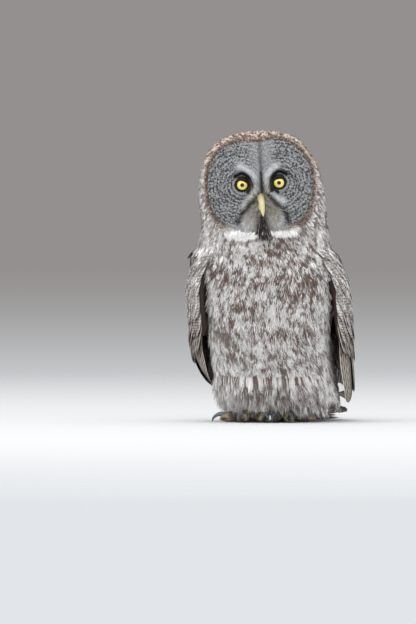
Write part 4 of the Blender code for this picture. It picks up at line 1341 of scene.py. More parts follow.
@dataclass
class BodyCoat:
    """The coat over head, neck, breast, back and belly."""

    body: BodyShape
    markings: Markings
    covered: Callable[[Array, Array], Array]
    seed: int = 7

    def lie(self, points: Array, normals: Array) -> Array:
        """Directions in which the coat lies.

        Near the disc it runs away from the disc's middle; on the rest of the head up the forehead,
        over the crown and down the nape; on the body down, and toward the tail low on the belly.

        Args:
            points: Places on the body.
            normals: Outward directions there.

        Returns:
            One direction for each.
        """
        x, z = points[:, 0], points[:, 2]
        centre = np.array([DISC_CENTRE[0], 0.0, DISC_CENTRE[1]])
        radial = unit((points - centre) * (1.0, 0.0, 1.0))
        front = np.clip(-normals[:, 1] + 0.5, 0.0, 1.0)[:, None]
        over = np.stack([np.zeros_like(x), normals[:, 2], -normals[:, 1]], axis=1)
        aside = np.abs(normals[:, :1]) * np.array([0.0, 0.45, -0.75])
        head = radial * front + over * (1.0 - front) * 0.8 + aside
        toward_tail = smooth(190.0, 70.0, z)[:, None] * np.array([0.52, 0.3, 0.0])
        down = np.array([0.0, 0.0, -1.0]) + toward_tail
        down = down + np.stack([0.12 * normals[:, 0] * smooth(240.0, 285.0, z), 0.0 * x, 0.0 * x], axis=1)
        share = smooth(268.0, 306.0, z)[:, None]
        return head * share + down * (1.0 - share)

    def grow(self, patch: Patch, index: int, finish: bpy.types.Material) -> bpy.types.Object:
        """Grows one patch.

        Args:
            patch: The patch.
            index: Its number, which seeds its variation.
            finish: The material.

        Returns:
            The piece.
        """
        random = np.random.default_rng(self.seed + index)
        roots = self.body.scatter(patch.spacing, patch.bottom, patch.top, random)
        row = self.body.level(roots[:, 2])
        ahead = (row[:, 1] - roots[:, 1]) / row[:, 6]
        if patch.facing is not Facing.ROUND:
            limit = 0.05 + random.uniform(-0.06, 0.06, len(roots))
            roots = roots[(ahead > limit) == (patch.facing is Facing.FRONT)]
        share, _ = disc_share(roots[:, 0], roots[:, 2])
        row = self.body.level(roots[:, 2])
        in_disc = (share < 0.985) & (roots[:, 1] < row[:, 1])
        roots = roots[~in_disc]
        roots, normals = self.body.settle(roots)
        keep = ~self.covered(roots, normals)
        roots, normals = roots[keep], normals[keep]
        level = (roots[:, 2] - patch.bottom) / (patch.top - patch.bottom)

        def between(pair: tuple[float, float]) -> Array:
            return pair[0] + (pair[1] - pair[0]) * np.clip(level, 0.0, 1.0)

        share, _ = disc_share(roots[:, 0], roots[:, 2])
        at_rim = bell((share - 1.0) / 0.12, 1.0) * (roots[:, 1] < 0.0) * smooth(262.0, 280.0, roots[:, 2])
        length = between(patch.length) * random.uniform(0.82, 1.15, len(roots)) * (1.0 - 0.42 * at_rim)
        growth = Growth(
            roots,
            normals,
            self.lie(roots, normals),
            length,
            between(patch.half_width) * random.uniform(0.85, 1.15, len(roots)) * (1.0 - 0.3 * at_rim),
            between(patch.depth),
            low=patch.low,
            swirl=patch.swirl,
            lift=patch.lift,
        )
        points = growth.spread(patch.shape, self.body.settle, random)
        spread = strand_marks(self.markings, points, patch.shape, random)
        middle_x = self.body.level(roots[:, 2])[:, 0]
        angle = np.arctan2(roots[:, 0] - middle_x, 10.0 - roots[:, 1]) / TURN + 0.5
        home = np.stack([angle, level * 0.98 + 0.01], axis=1)
        piece = tuft_piece(patch.name, points, patch.shape, home, spread, length, random)
        return MeshMaker.settle_in(piece, finish, patch.slot)

    def fringe(self, finish: bpy.types.Material) -> bpy.types.Object:
        """Loose feathers that hang straight from the belly over the roots of the toes.

        Args:
            finish: The material.

        Returns:
            The piece.
        """
        random = np.random.default_rng(self.seed + 40)
        roots, normals = self.body.settle(self.body.scatter(3.2, 20.0, 72.0, random))
        row = self.body.level(roots[:, 2])
        ahead = (row[:, 1] - roots[:, 1]) / row[:, 6]
        keep = (ahead > 0.1) & (roots[:, 0] < 84.0)
        roots, normals = roots[keep], unit(normals[keep] * (1.0, 1.0, 0.0))
        count = len(roots)
        length = np.minimum(random.uniform(20.0, 30.0, count), roots[:, 2] - random.uniform(5.0, 13.0, count))
        shape = plume(5)

        def hang(points: Array) -> tuple[Array, Array]:
            return points, np.repeat(normals, len(shape.along), axis=0)

        lie = np.broadcast_to((0.16, 0.0, -1.0), roots.shape)
        half = random.uniform(2.2, 3.6, count)
        growth = Growth(roots, normals, lie, length, half, np.full(count, 7.0), 0.3, 0.10, 1.6, 0.12, -0.15)
        points = growth.spread(shape, hang, random)
        marks = strand_marks(self.markings, points, shape, random)
        home = np.stack([(roots[:, 0] + 110.0) / 220.0, roots[:, 2] / 60.0], axis=1)
        piece = tuft_piece("belly_fringe", points, shape, home, marks, length, random)
        return MeshMaker.settle_in(piece, finish, Slot.BODY)

    def scapulars(self, finish: bpy.types.Material) -> bpy.types.Object:
        """Broad feathers of the upper back that lie out over the inner edges of both wings.

        They lie on the body's surface raised by 11 mm times a smooth step of the distance from the
        back's middle, so that they clear the coverts of the wings.

        Args:
            finish: The material.

        Returns:
            The piece.
        """
        random = np.random.default_rng(self.seed + 50)
        roots, normals = self.body.settle(self.body.scatter(8.5, 112.0, 262.0, random))
        beside = np.abs(roots[:, 0] - self.body.level(roots[:, 2])[:, 0])
        keep = (roots[:, 1] > 34.0) & (beside > 30.0) & (beside < 92.0)
        roots, normals = roots[keep], normals[keep]
        count = len(roots)

        def drape(points: Array) -> tuple[Array, Array]:
            settled, outward = self.body.settle(points)
            apart = np.abs(settled[:, 0] - self.body.level(settled[:, 2])[:, 0])
            rise = 1.5 + 11.5 * smooth(34.0, 74.0, apart) * smooth(262.0, 236.0, settled[:, 2])
            return settled + outward * rise[:, None], outward

        roots, normals = drape(roots)
        lie = np.stack([0.30 * np.sign(roots[:, 0]), 0.0 * roots[:, 0], -1.0 + 0.0 * roots[:, 0]], axis=1)
        length = random.uniform(30.0, 44.0, count)
        half = random.uniform(7.0, 9.5, count)
        growth = Growth(roots, normals, lie, length, half, np.full(count, 6.0), 0.2, 0.14, 1.2, 0.14, -0.1)
        shape = vane(10, 7, 0.12)
        points = growth.spread(shape, drape, random)
        marks = strand_marks(self.markings, points, shape, random)
        home = np.stack([(roots[:, 0] + 110.0) / 220.0, (roots[:, 2] - 100.0) / 170.0], axis=1)
        piece = tuft_piece("scapular_coat", points, shape, home, marks, length, random)
        return MeshMaker.settle_in(piece, finish, Slot.BACK)


class TubeShape:
    """A tapering limb: rings of two half sizes along a smooth path."""

    SAMPLES = 48

    def __init__(self, path: tuple, reference: tuple[float, float, float] = (0.0, 0.0, 1.0)) -> None:
        """Works out the limb's middle line and its directions.

        Args:
            path: Points of x, y, z and the two half sizes.
            reference: The direction that the limb's side is square to.
        """
        share = np.linspace(0.0, 1.0, self.SAMPLES)
        rows = curve_through(np.array(path, float), share)
        self.middle = rows[:, :3]
        self.half = rows[:, 3:]
        self.ahead = unit(np.gradient(self.middle, axis=0))
        self.side = unit(np.cross(self.ahead, np.array(reference)))
        self.up = np.cross(self.side, self.ahead)
        steps = np.linalg.norm(np.diff(self.middle, axis=0), axis=1)
        self.along = np.concatenate([[0.0], np.cumsum(steps)])

    def ring(self, index: Array, angle: Array, grow: float = 0.0) -> Array:
        """Points on the limb: middle + side * a * cos(angle) + up * b * sin(angle)."""
        across = self.side[index] * ((self.half[index, 0] + grow) * np.cos(angle))[..., None]
        upward = self.up[index] * ((self.half[index, 1] + grow) * np.sin(angle))[..., None]
        return self.middle[index] + across + upward

    def shell(self, sides: int, grow: float = 0.0) -> tuple[Array, Array]:
        """The limb as a closed shell.

        Args:
            sides: Vertices round a ring.
            grow: Added to both half sizes.

        Returns:
            Points and triangles.
        """
        index, angle = np.meshgrid(
            np.arange(self.SAMPLES), np.linspace(0.0, TURN, sides, endpoint=False), indexing="ij"
        )
        return closed_stack(self.ring(index, angle, grow))

    def settle(self, points: Array) -> tuple[Array, Array]:
        """Puts points onto the limb at the angle that they have round its middle line."""
        apart = np.linalg.norm(points[:, None] - self.middle[None, ::2], axis=-1)
        index = apart.argmin(axis=1) * 2
        offset = points - self.middle[index]
        across = (offset * self.side[index]).sum(axis=1) / self.half[index, 0]
        upward = (offset * self.up[index]).sum(axis=1) / self.half[index, 1]
        angle = np.arctan2(upward, across)
        forward = (offset * self.ahead[index]).sum(axis=1)
        settled = self.ring(index, angle) + self.ahead[index] * forward[:, None]
        outward = self.side[index] * (np.cos(angle) / self.half[index, 0])[:, None]
        outward = outward + self.up[index] * (np.sin(angle) / self.half[index, 1])[:, None]
        return settled, unit(outward)

    def scatter(self, spacing: float, random: np.random.Generator) -> tuple[Array, Array]:
        """Points spread evenly over the limb.

        Args:
            spacing: Mean distance between neighbours.
            random: The source of jitter.

        Returns:
            The points, and the place of each on the limb's unwrap, from 0 to 1.
        """
        girth = math.pi * self.half.sum(axis=1)
        total = int(self.along[-1] * girth.mean() / spacing**2)
        place = random.choice(self.SAMPLES, total, p=girth / girth.sum())
        angle = random.uniform(0.0, TURN, total)
        home = np.stack([angle / TURN, (place + random.random(total)) / self.SAMPLES], axis=1)
        return self.ring(place, angle), home


def closed_stack(rings: Array) -> tuple[Array, Array]:
    """Points and triangles of a closed shell through rings, with a fan at each end.

    Args:
        rings: Points, ring by place round it.

    Returns:
        Points and triangles.
    """
    levels, count = rings.shape[:2]
    points = np.concatenate([rings.reshape(-1, 3), rings[:1].mean(axis=1), rings[-1:].mean(axis=1)])
    quads = grid_faces(levels, count, closed=True)
    triangles = np.concatenate([quads[:, [0, 1, 2]], quads[:, [0, 2, 3]]])
    here = np.arange(count)
    after = (here + 1) % count
    last = (levels - 1) * count
    low = np.stack([after, here, np.full(count, levels * count)], axis=1)
    high = np.stack([last + here, last + after, np.full(count, levels * count + 1)], axis=1)
    return points, np.concatenate([triangles, low, high])


RUMP = (
    (34.0, 66.0, 58.0, 72.0, 46.0),
    (43.0, 98.0, 50.0, 61.0, 40.0),
    (54.0, 130.0, 34.0, 44.0, 27.0),
    (63.0, 158.0, 22.0, 31.0, 16.0),
)


@dataclass(frozen=True)
class FootPlan:
    """One leg and foot: leg rings from the top, the foot's middle and its toes' turns and lengths."""

    leg: tuple
    middle: tuple[float, float]
    toes: tuple


FEET = {
    Side.RIGHT: FootPlan(
        leg=(
            (-35.0, 4.0, 52.0, 36.0, 34.0),
            (-34.0, 2.0, 28.0, 31.0, 29.0),
            (-32.0, 1.0, 14.0, 24.0, 23.0),
            (-27.0, -1.0, 6.4, 17.0, 18.0),
        ),
        middle=(-23.0, -4.0),
        toes=((-20.0, 42.0), (22.0, 43.0), (-72.0, 40.0), (172.0, 24.0)),
    ),
    Side.LEFT: FootPlan(
        leg=(
            (39.0, 8.0, 52.0, 35.0, 34.0),
            (36.0, 6.0, 28.0, 30.0, 29.0),
            (33.0, 4.0, 14.0, 23.0, 23.0),
            (27.0, 1.0, 6.4, 17.0, 18.0),
        ),
        middle=(22.0, -2.0),
        toes=((-15.0, 43.0), (11.0, 45.0), (72.0, 42.0), (186.0, 24.0)),
    ),
}
TOE_STATIONS = ((0.0, 0.0, 9.0, 10.0), (0.5, 0.0, 9.5, 9.0), (0.92, 0.0, 8.0, 8.2), (1.0, 4.0, 7.5, 4.5))
CLAW_PATH = ((-4.0, 9.5), (5.0, 12.0), (13.0, 11.0), (19.0, 6.5), (21.0, 1.0))
CLAW_RADII = (3.6, 3.4, 2.7, 1.7, 0.45)

WING_STEPS = np.array((0.0, 0.13, 0.27, 0.42, 0.60, 0.79, 1.0))
WING_GUIDES = {
    Side.LEFT: (
        ((70, -46, 244), (90, -60, 198), (96, -54, 145), (104, -34, 90), (113, 26, 36), (113, 118, 21), (104, 222, 24)),
        ((86, 6, 246), (109, 10, 199), (114, 18, 146), (117, 38, 94), (117, 84, 50), (110, 150, 36), (99, 226, 29)),
        ((62, 60, 246), (76, 80, 200), (78, 94, 148), (82, 108, 102), (88, 136, 70), (88, 178, 50), (86, 230, 33)),
    ),
    Side.RIGHT: (
        ((-78, -44, 244), (-94, -56, 198), (-92, -50, 145), (-93, -26, 94), (-72, 34, 46), (-4, 128, 20), (45, 222, 24)),
        ((-92, 6, 246), (-109, 10, 199), (-106, 18, 146), (-100, 38, 94), (-62, 86, 60), (2, 152, 38), (51, 226, 29)),
        ((-70, 60, 246), (-82, 78, 200), (-80, 90, 150), (-66, 108, 106), (-28, 128, 80), (18, 174, 54), (60, 230, 33)),
    ),
}


class WingShape:
    """The sheet that a folded wing's feathers lie on: two shares, along it and across it.

    Along, three guide lines run as Catmull-Rom cubics; across, a parabola goes through the three.
    """

    def __init__(self, side: Side) -> None:
        """Keeps the side's guide lines."""
        self.guides = np.array(WING_GUIDES[side], float)
        self.outward = -side.value

    def guide(self, where: Array) -> Array:
        """The three guide points at places along the wing."""
        last = len(WING_STEPS) - 2
        index = np.clip(np.searchsorted(WING_STEPS, where) - 1, 0, last)
        share = (where - WING_STEPS[index]) / (WING_STEPS[index + 1] - WING_STEPS[index])
        start = self.guides[:, index]
        end = self.guides[:, index + 1]
        leave = (end - self.guides[:, np.maximum(index - 1, 0)]) / 2.0
        arrive = (self.guides[:, np.minimum(index + 2, last + 1)] - start) / 2.0
        return hermite(start, end, leave, arrive, share[..., None])

    def place(self, where: Array, across: Array) -> Array:
        """Points on the sheet."""
        lead, middle, trail = self.guide(where)
        across = across[..., None]
        return (
            lead * (1.0 - across) * (1.0 - 2.0 * across)
            + middle * 4.0 * across * (1.0 - across)
            + trail * across * (2.0 * across - 1.0)
        )

    def frame(self, where: Array, across: Array) -> tuple[Array, Array, Array, Array]:
        """Points on the sheet with its outward direction and its sizes.

        Args:
            where: Shares along.
            across: Shares across.

        Returns:
            Points, outward directions, and millimetres for a share along and across.
        """
        step = 0.01
        ahead = (self.place(where + step, across) - self.place(where - step, across)) / (2.0 * step)
        beside = (self.place(where, across + step) - self.place(where, across - step)) / (2.0 * step)
        normal = unit(np.cross(beside, ahead)) * self.outward
        return (
            self.place(where, across),
            normal,
            np.linalg.norm(ahead, axis=-1),
            np.linalg.norm(beside, axis=-1),
        )

    def covers(self, points: Array, normals: Array) -> Array:
        """Whether the wing lies over places on the body, well inside its border."""
        where, across = np.meshgrid(np.linspace(0.04, 0.62, 26), np.linspace(0.14, 0.9, 12), indexing="ij")
        sheet = self.place(where.ravel(), across.ravel())
        offset = sheet[None] - points[:, None]
        apart = np.linalg.norm(offset, axis=-1)
        nearest = apart.argmin(axis=1)
        row = np.arange(len(points))
        above = (offset[row, nearest] * normals).sum(axis=1) > -4.0
        return (apart[row, nearest] < 17.0) & above

    def slab(self, rows: int, columns: int, high: float, low: float) -> tuple[Array, Array]:
        """The wing's arm as a closed shell between two heights over the sheet's upper part."""
        where, across = np.meshgrid(np.linspace(0.0, 0.33, rows), np.linspace(0.06, 0.94, columns), indexing="ij")
        points, normals, _, _ = self.frame(where, across)
        thick = np.minimum(1.0, 0.25 + 5.0 * across * (1.0 - across))[..., None]
        outer = points + normals * high * thick
        inner = points + normals * low * thick
        rings = np.concatenate([outer, inner[:, ::-1]], axis=1)
        return closed_stack(rings)


@dataclass
class Skin:
    """One skin under the coat: body, rump, legs and wing arms, joined and smoothed as one surface."""

    body: BodyShape
    markings: Markings
    wings: dict[Side, WingShape]
    limbs: tuple[tuple[TubeShape, float], ...]
    voxel: float = 3.4
    rows: int = 110
    sides: int = 120

    def torso(self) -> tuple[Array, Array]:
        """The body's surface, drawn in by the coat's depth."""
        inner = np.linspace(self.body.profile[4], self.body.profile[-3], self.rows)
        heights = np.interp(inner, self.body.profile, self.body.heights)
        z, angle = np.meshgrid(heights, np.linspace(0.0, TURN, self.sides, endpoint=False), indexing="ij")
        rings = self.body.ring_points(angle.ravel(), z.ravel())
        settled, outward = self.body.settle(rings)
        depth = np.interp(settled[:, 2], (20.0, 250.0, 300.0, 420.0), (8.5, 8.0, 4.6, 4.2))
        share, _ = disc_share(settled[:, 0], settled[:, 2])
        in_disc = smooth(1.05, 0.9, share) * (settled[:, 1] < 0.0)
        points = settled - outward * (depth * (1.0 - in_disc) + 3.4 * in_disc)[:, None]
        return closed_stack(points.reshape(self.rows, self.sides, 3))

    def make(self, finish: bpy.types.Material, *nodes: str) -> bpy.types.Object:
        """Joins the shells, turns them into one surface by voxels and smooths it.

        Args:
            finish: The material.
            nodes: The nodes that the skin stands for.

        Returns:
            The piece.
        """
        shells = [self.torso()]
        shells += [limb.shell(28, -inset) for limb, inset in self.limbs]
        shells += [wing.slab(14, 12, 2.0, -12.0) for wing in self.wings.values()]
        start = 0
        points = []
        faces = []
        for shell_points, shell_faces in shells:
            points.append(shell_points)
            faces.append(shell_faces + start)
            start += len(shell_points)
        rough = MeshMaker.build("rough_skin", np.concatenate(points), np.concatenate(faces))
        remesh = rough.modifiers.new("one surface", "REMESH")
        remesh.mode = "VOXEL"
        remesh.voxel_size = self.voxel * MM
        soften = rough.modifiers.new("soften", "SMOOTH")
        soften.factor = 0.6
        soften.iterations = 6
        graph = bpy.context.evaluated_depsgraph_get()
        made = bpy.data.meshes.new_from_object(rough.evaluated_get(graph))
        count = len(made.vertices)
        place = np.empty(count * 3, dtype=np.float32)
        made.vertices.foreach_get("co", place)
        corners = np.empty(len(made.loops), dtype=np.int32)
        made.loops.foreach_get("vertex_index", corners)
        bpy.data.objects.remove(rough)
        points = place.reshape(-1, 3).astype(float) / MM - SHIFT
        points[:, 2] = np.maximum(points[:, 2], 1.0)
        marks = self.markings.coat(points)
        face = self.markings.face(points[:, 0], points[:, 2])
        share, _ = disc_share(points[:, 0], points[:, 2])
        row = self.body.level(points[:, 2])
        inside = smooth(1.0, 0.94, share) * (points[:, 1] < row[:, 1] - 0.3 * row[:, 6])
        # Inside the disc the skin takes the face's marks darkened by 0.45: painted shade in the gaps between the disc's
        # feathers.
        ink = marks.ink * (1.0 - inside) + np.clip(face.ink + 0.45, 0.0, 1.0) * inside
        white = marks.white * (1.0 - inside) + face.white * inside
        _, normals = self.body.settle(points, 1)
        hidden = np.zeros(len(points), dtype=bool)
        for wing in self.wings.values():
            hidden |= wing.covers(points, normals)
        # Painted shade: the skin is darker by 0.1 all over for the gaps between tufts, and near black with no white
        # where a wing lies over it.
        ink = np.clip(ink + 0.1 + 1.4 * hidden, 0.0, 1.5)
        numbers = {"ink": ink, "white": white * (1.0 - hidden)}
        skin = MeshMaker.build("skin", points, corners.reshape(-1, 4), numbers)
        return MeshMaker.settle_in(skin, finish, Slot.BODY, *nodes)


@dataclass
class FacialDisc:
    """The face's feathers: the disc, its ruff, and the bristles around the bill."""

    body: BodyShape
    markings: Markings
    spacing: float = 1.75
    seed: int = 31

    def roots(self, spacing: float, random: np.random.Generator) -> Array:
        """Places seen from the front, on a staggered grid with jitter."""
        across = np.arange(-92.0, 70.0, spacing)
        upward = np.arange(262.0, 416.0, spacing * 0.87)
        x, z = np.meshgrid(across, upward)
        x = x + (np.arange(len(upward)) % 2)[:, None] * spacing / 2.0
        places = np.stack([x.ravel(), z.ravel()], axis=1)
        return places + random.uniform(-0.42, 0.42, places.shape) * spacing

    def lie(self, x: Array, z: Array) -> Array:
        """Feathers run out from the nearer eye, and near the midline out from the bill's root."""
        way = np.zeros((len(x), 3))
        near = np.full(len(x), 999.0)
        for eye_x, eye_z in EYES.values():
            offset = np.stack([x - eye_x, 0.0 * x, z - eye_z], axis=1)
            size = np.linalg.norm(offset, axis=1)
            way = np.where((size < near)[:, None], offset / np.maximum(size, 1e-6)[:, None], way)
            near = np.minimum(near, size)
        root = np.stack([x + 9.5, 0.0 * x, z - 324.0], axis=1)
        middle = np.clip(bell(x + 10.5, 17.0) + smooth(312.0, 300.0, z) * bell(x + 8.0, 34.0), 0.0, 1.0)
        return way * (1.0 - middle)[:, None] + unit(root) * middle[:, None]

    def feathers(self, finish: bpy.types.Material) -> bpy.types.Object:
        """The disc's own small vanes."""
        random = np.random.default_rng(self.seed)
        places = self.roots(self.spacing, random)
        x, z = places[:, 0], places[:, 1]
        share, _ = disc_share(x, z)
        near = np.full(len(x), 999.0)
        for eye_x, eye_z in EYES.values():
            near = np.minimum(near, np.hypot(x - eye_x, (z - eye_z) * 1.08))
        bill = np.hypot((x + 9.8) / 4.6, (z - 314.0) / 14.5)
        limit = 0.90 + 0.10 * smooth(280.0, 312.0, z)
        keep = (share < limit) & (near > 9.2) & (bill > 1.0)
        x, z, near, share = x[keep], z[keep], near[keep], share[keep]
        roots, normals = self.body.settle(self.body.front_point(x, z))
        length = 5.0 + 4.5 * smooth(9.0, 34.0, near)
        lobe = np.zeros_like(x)
        for lobe_x, lobe_z, size in WHISKER_LOBES:
            lobe = np.maximum(lobe, bell(np.hypot(x - lobe_x, z - lobe_z), size))
        length = (length + 4.0 * lobe) * random.uniform(0.85, 1.15, len(x))
        half = (0.95 + 0.65 * smooth(9.0, 40.0, near)) * random.uniform(0.85, 1.15, len(x))
        growth = Growth(
            roots, normals, self.lie(x, z), length, half, np.full(len(x), 3.0), 0.25, 0.10, 0.9, 0.1
        )
        shape = vane(6, 3, 0.12)
        points = growth.spread(shape, self.body.settle, random)
        marks = self.markings.face(points[..., 0], points[..., 2])
        home = np.stack([(x + 92.0) / 166.0, (z - 270.0) / 146.0], axis=1)
        piece = tuft_piece("disc_coat", points, shape, home, marks, length, random)
        return MeshMaker.settle_in(piece, finish, Slot.DISC, "facial_disc")

    def ruff(self, finish: bpy.types.Material) -> bpy.types.Object:
        """Short stiff feathers that stand up round the disc's edge."""
        random = np.random.default_rng(self.seed + 1)
        places = self.roots(1.5, random)
        share, _ = disc_share(places[:, 0], places[:, 1])
        places = places[(share > 0.97) & (share < 1.03) & (places[:, 1] > 281.0)]
        x, z = places[:, 0], places[:, 1]
        share, _ = disc_share(x, z)
        roots, normals = self.body.settle(self.body.front_point(x, z, relief=False), 3)
        lie = unit(np.stack([x - DISC_CENTRE[0], 0.0 * x, z - DISC_CENTRE[1]], axis=1))
        lie[:, 1] += 0.15
        length = random.uniform(4.2, 6.6, len(x))
        half = random.uniform(0.9, 1.4, len(x))
        growth = Growth(roots, normals, lie, length, half, np.full(len(x), 3.4), 0.3, 0.12, 1.3, 0.1, -0.5)
        shape = vane(4, 3, 0.15)
        points = growth.spread(shape, self.body.settle, random)
        tips = points[:, -3:].mean(axis=1)
        marks = self.markings.coat(tips)
        fleck = noise(tips, 2.6, 9)
        brown = smooth(30.0, -10.0, x) * 0.5 + 0.35
        top = smooth(385.0, 402.0, z)
        ink = np.clip(np.maximum(marks.ink, brown * (0.55 + 0.9 * (fleck - 0.35))), 0.0, 1.0)
        edge = smooth(1.012, 0.985, share) * (0.55 + 0.6 * smooth(0.35, 0.55, fleck))
        ink = np.clip(np.maximum(ink, edge), 0.0, 1.0)
        low = smooth(292.0, 280.0, z)
        ink = ink * (1.0 - low) + marks.ink * low
        white = np.maximum(marks.white, top * smooth(0.52, 0.7, fleck)) * (1.0 - low) + marks.white * low
        along = shape.along
        ink = ink[:, None] * (1.0 - 0.35 * along**3)
        spread = Marks(ink, white[:, None] * along, 0.9 - 0.5 * edge, 0.35 + 0.0 * x)
        home = np.stack([(x + 92.0) / 166.0, (z - 270.0) / 146.0], axis=1)
        piece = tuft_piece("disc_ruff", points, shape, home, spread, length, random)
        return MeshMaker.settle_in(piece, finish, Slot.CROWN)

    def bow_tie(self, finish: bpy.types.Material) -> bpy.types.Object:
        """White feathers to both sides below the disc, and black ones on the chin between them.

        A place is white inside either ellipse ((x - a) / w)^2 + ((z - b) / h)^2 = 1, and black along
        the chin's stroke.

        Args:
            finish: The material.

        Returns:
            The piece.
        """
        random = np.random.default_rng(self.seed + 4)
        places = self.roots(1.6, random)
        x, z = places[:, 0], places[:, 1]
        drop = 5.5
        white = np.zeros_like(x)
        for middle, height, wide, high in BOW_SPOTS:
            spot = np.hypot((x - middle) / wide, (z - drop - height) / high)
            white = np.maximum(white, smooth(1.08, 0.98, spot))
        black = stroke(x, z - drop, BIB, (4.0, 10.5)) > 0.55
        keep = (white > 0.2) | (black & (z < 300.0))
        x, z, white, black = x[keep], z[keep], white[keep], black[keep]
        roots, normals = self.body.settle(self.body.front_point(x, z), 3)
        lie = np.stack([0.10 * np.sign(x + 8.0), 0.0 * x, -1.0 + 0.0 * x], axis=1)
        length = random.uniform(9.0, 13.0, len(x))
        half = random.uniform(1.5, 2.1, len(x))
        depth = 3.0 + 1.2 * white
        growth = Growth(roots, normals, lie, length, half, depth, 0.4, 0.12, 1.5, 0.1, -0.55)
        shape = plume(4)
        points = growth.spread(shape, self.body.settle, random)
        odd = random.random((len(x), int(shape.part.max()) + 1))[:, shape.part] < 0.12
        ink = np.where((white > 0.3)[:, None], 0.25 * odd, 0.98 - 0.65 * odd)
        spread = Marks(ink, 1.0 - ink, 0.1 + 0.0 * x, 0.0 * x)
        home = np.stack([(x + 92.0) / 166.0, (z - 255.0) / 161.0], axis=1)
        piece = tuft_piece("bow_tie_coat", points, shape, home, spread, length, random)
        return MeshMaker.settle_in(piece, finish, Slot.DISC)

    def bristles(self, finish: bpy.types.Material) -> bpy.types.Object:
        """Long fine bristles that fan from the bill's root over the whisker lobes and the brows."""
        random = np.random.default_rng(self.seed + 2)
        fans = (
            ((-14.5, 317.0), (4.0, 9.0), (-150.0, 26.0), 17.0, 300),
            ((-4.0, 318.0), (4.0, 9.0), (-42.0, 26.0), 17.0, 300),
            ((-19.0, 303.0), (8.0, 12.0), (-122.0, 20.0), 19.0, 420),
            ((0.5, 305.0), (8.0, 12.0), (-58.0, 20.0), 19.0, 420),
            ((-8.5, 300.0), (5.0, 4.0), (-90.0, 20.0), 16.0, 160),
            ((-17.0, 334.0), (3.5, 8.0), (118.0, 16.0), 15.0, 190),
            ((-3.5, 335.0), (3.5, 8.0), (66.0, 16.0), 15.0, 190),
        )
        parts = []
        for (x, z), (wide, high), (turn, spread), length, count in fans:
            angle = np.radians(random.normal(turn, spread, count))
            places = np.array((x, z)) + random.normal(0.0, 0.5, (count, 2)) * (wide, high)
            size = length * random.uniform(0.6, 1.1, count)
            parts.append(np.column_stack([places, np.cos(angle), np.sin(angle), size]))
        x, z, ahead_x, ahead_z, length = np.concatenate(parts).T
        roots, normals = self.body.settle(self.body.front_point(x, z))
        lie = np.stack([ahead_x, 0.0 * x, ahead_z], axis=1)
        half = random.uniform(1.0, 1.9, len(x))
        growth = Growth(roots, normals, lie, length, half, np.full(len(x), 2.0), 0.5, 0.05, 1.2, 0.0, -1.1)
        shape = plume(3, (0.0, 0.4, 0.75, 1.0), 0.22)
        points = growth.spread(shape, self.body.settle, random)
        marks = self.markings.face(points[..., 0], points[..., 2])
        strand = random.uniform(-0.40, 0.40, (len(x), 3))[:, shape.part]
        strand = strand + random.uniform(-0.25, 0.30, len(x))[:, None]
        dark = marks.ink + 0.30 * (1.0 - marks.white) * (1.0 - 0.5 * shape.along)
        ink = np.clip(dark + strand, 0.0, 1.0)
        marks = Marks(ink, np.clip(marks.white - strand, 0.0, 1.0), 0.55 - 0.4 * marks.ink, marks.bar * 0.2)
        home = np.stack([(x + 92.0) / 166.0, (z - 270.0) / 146.0], axis=1)
        piece = tuft_piece("bill_bristles", points, shape, home, marks, length, random)
        return MeshMaker.settle_in(piece, finish, Slot.DISC)


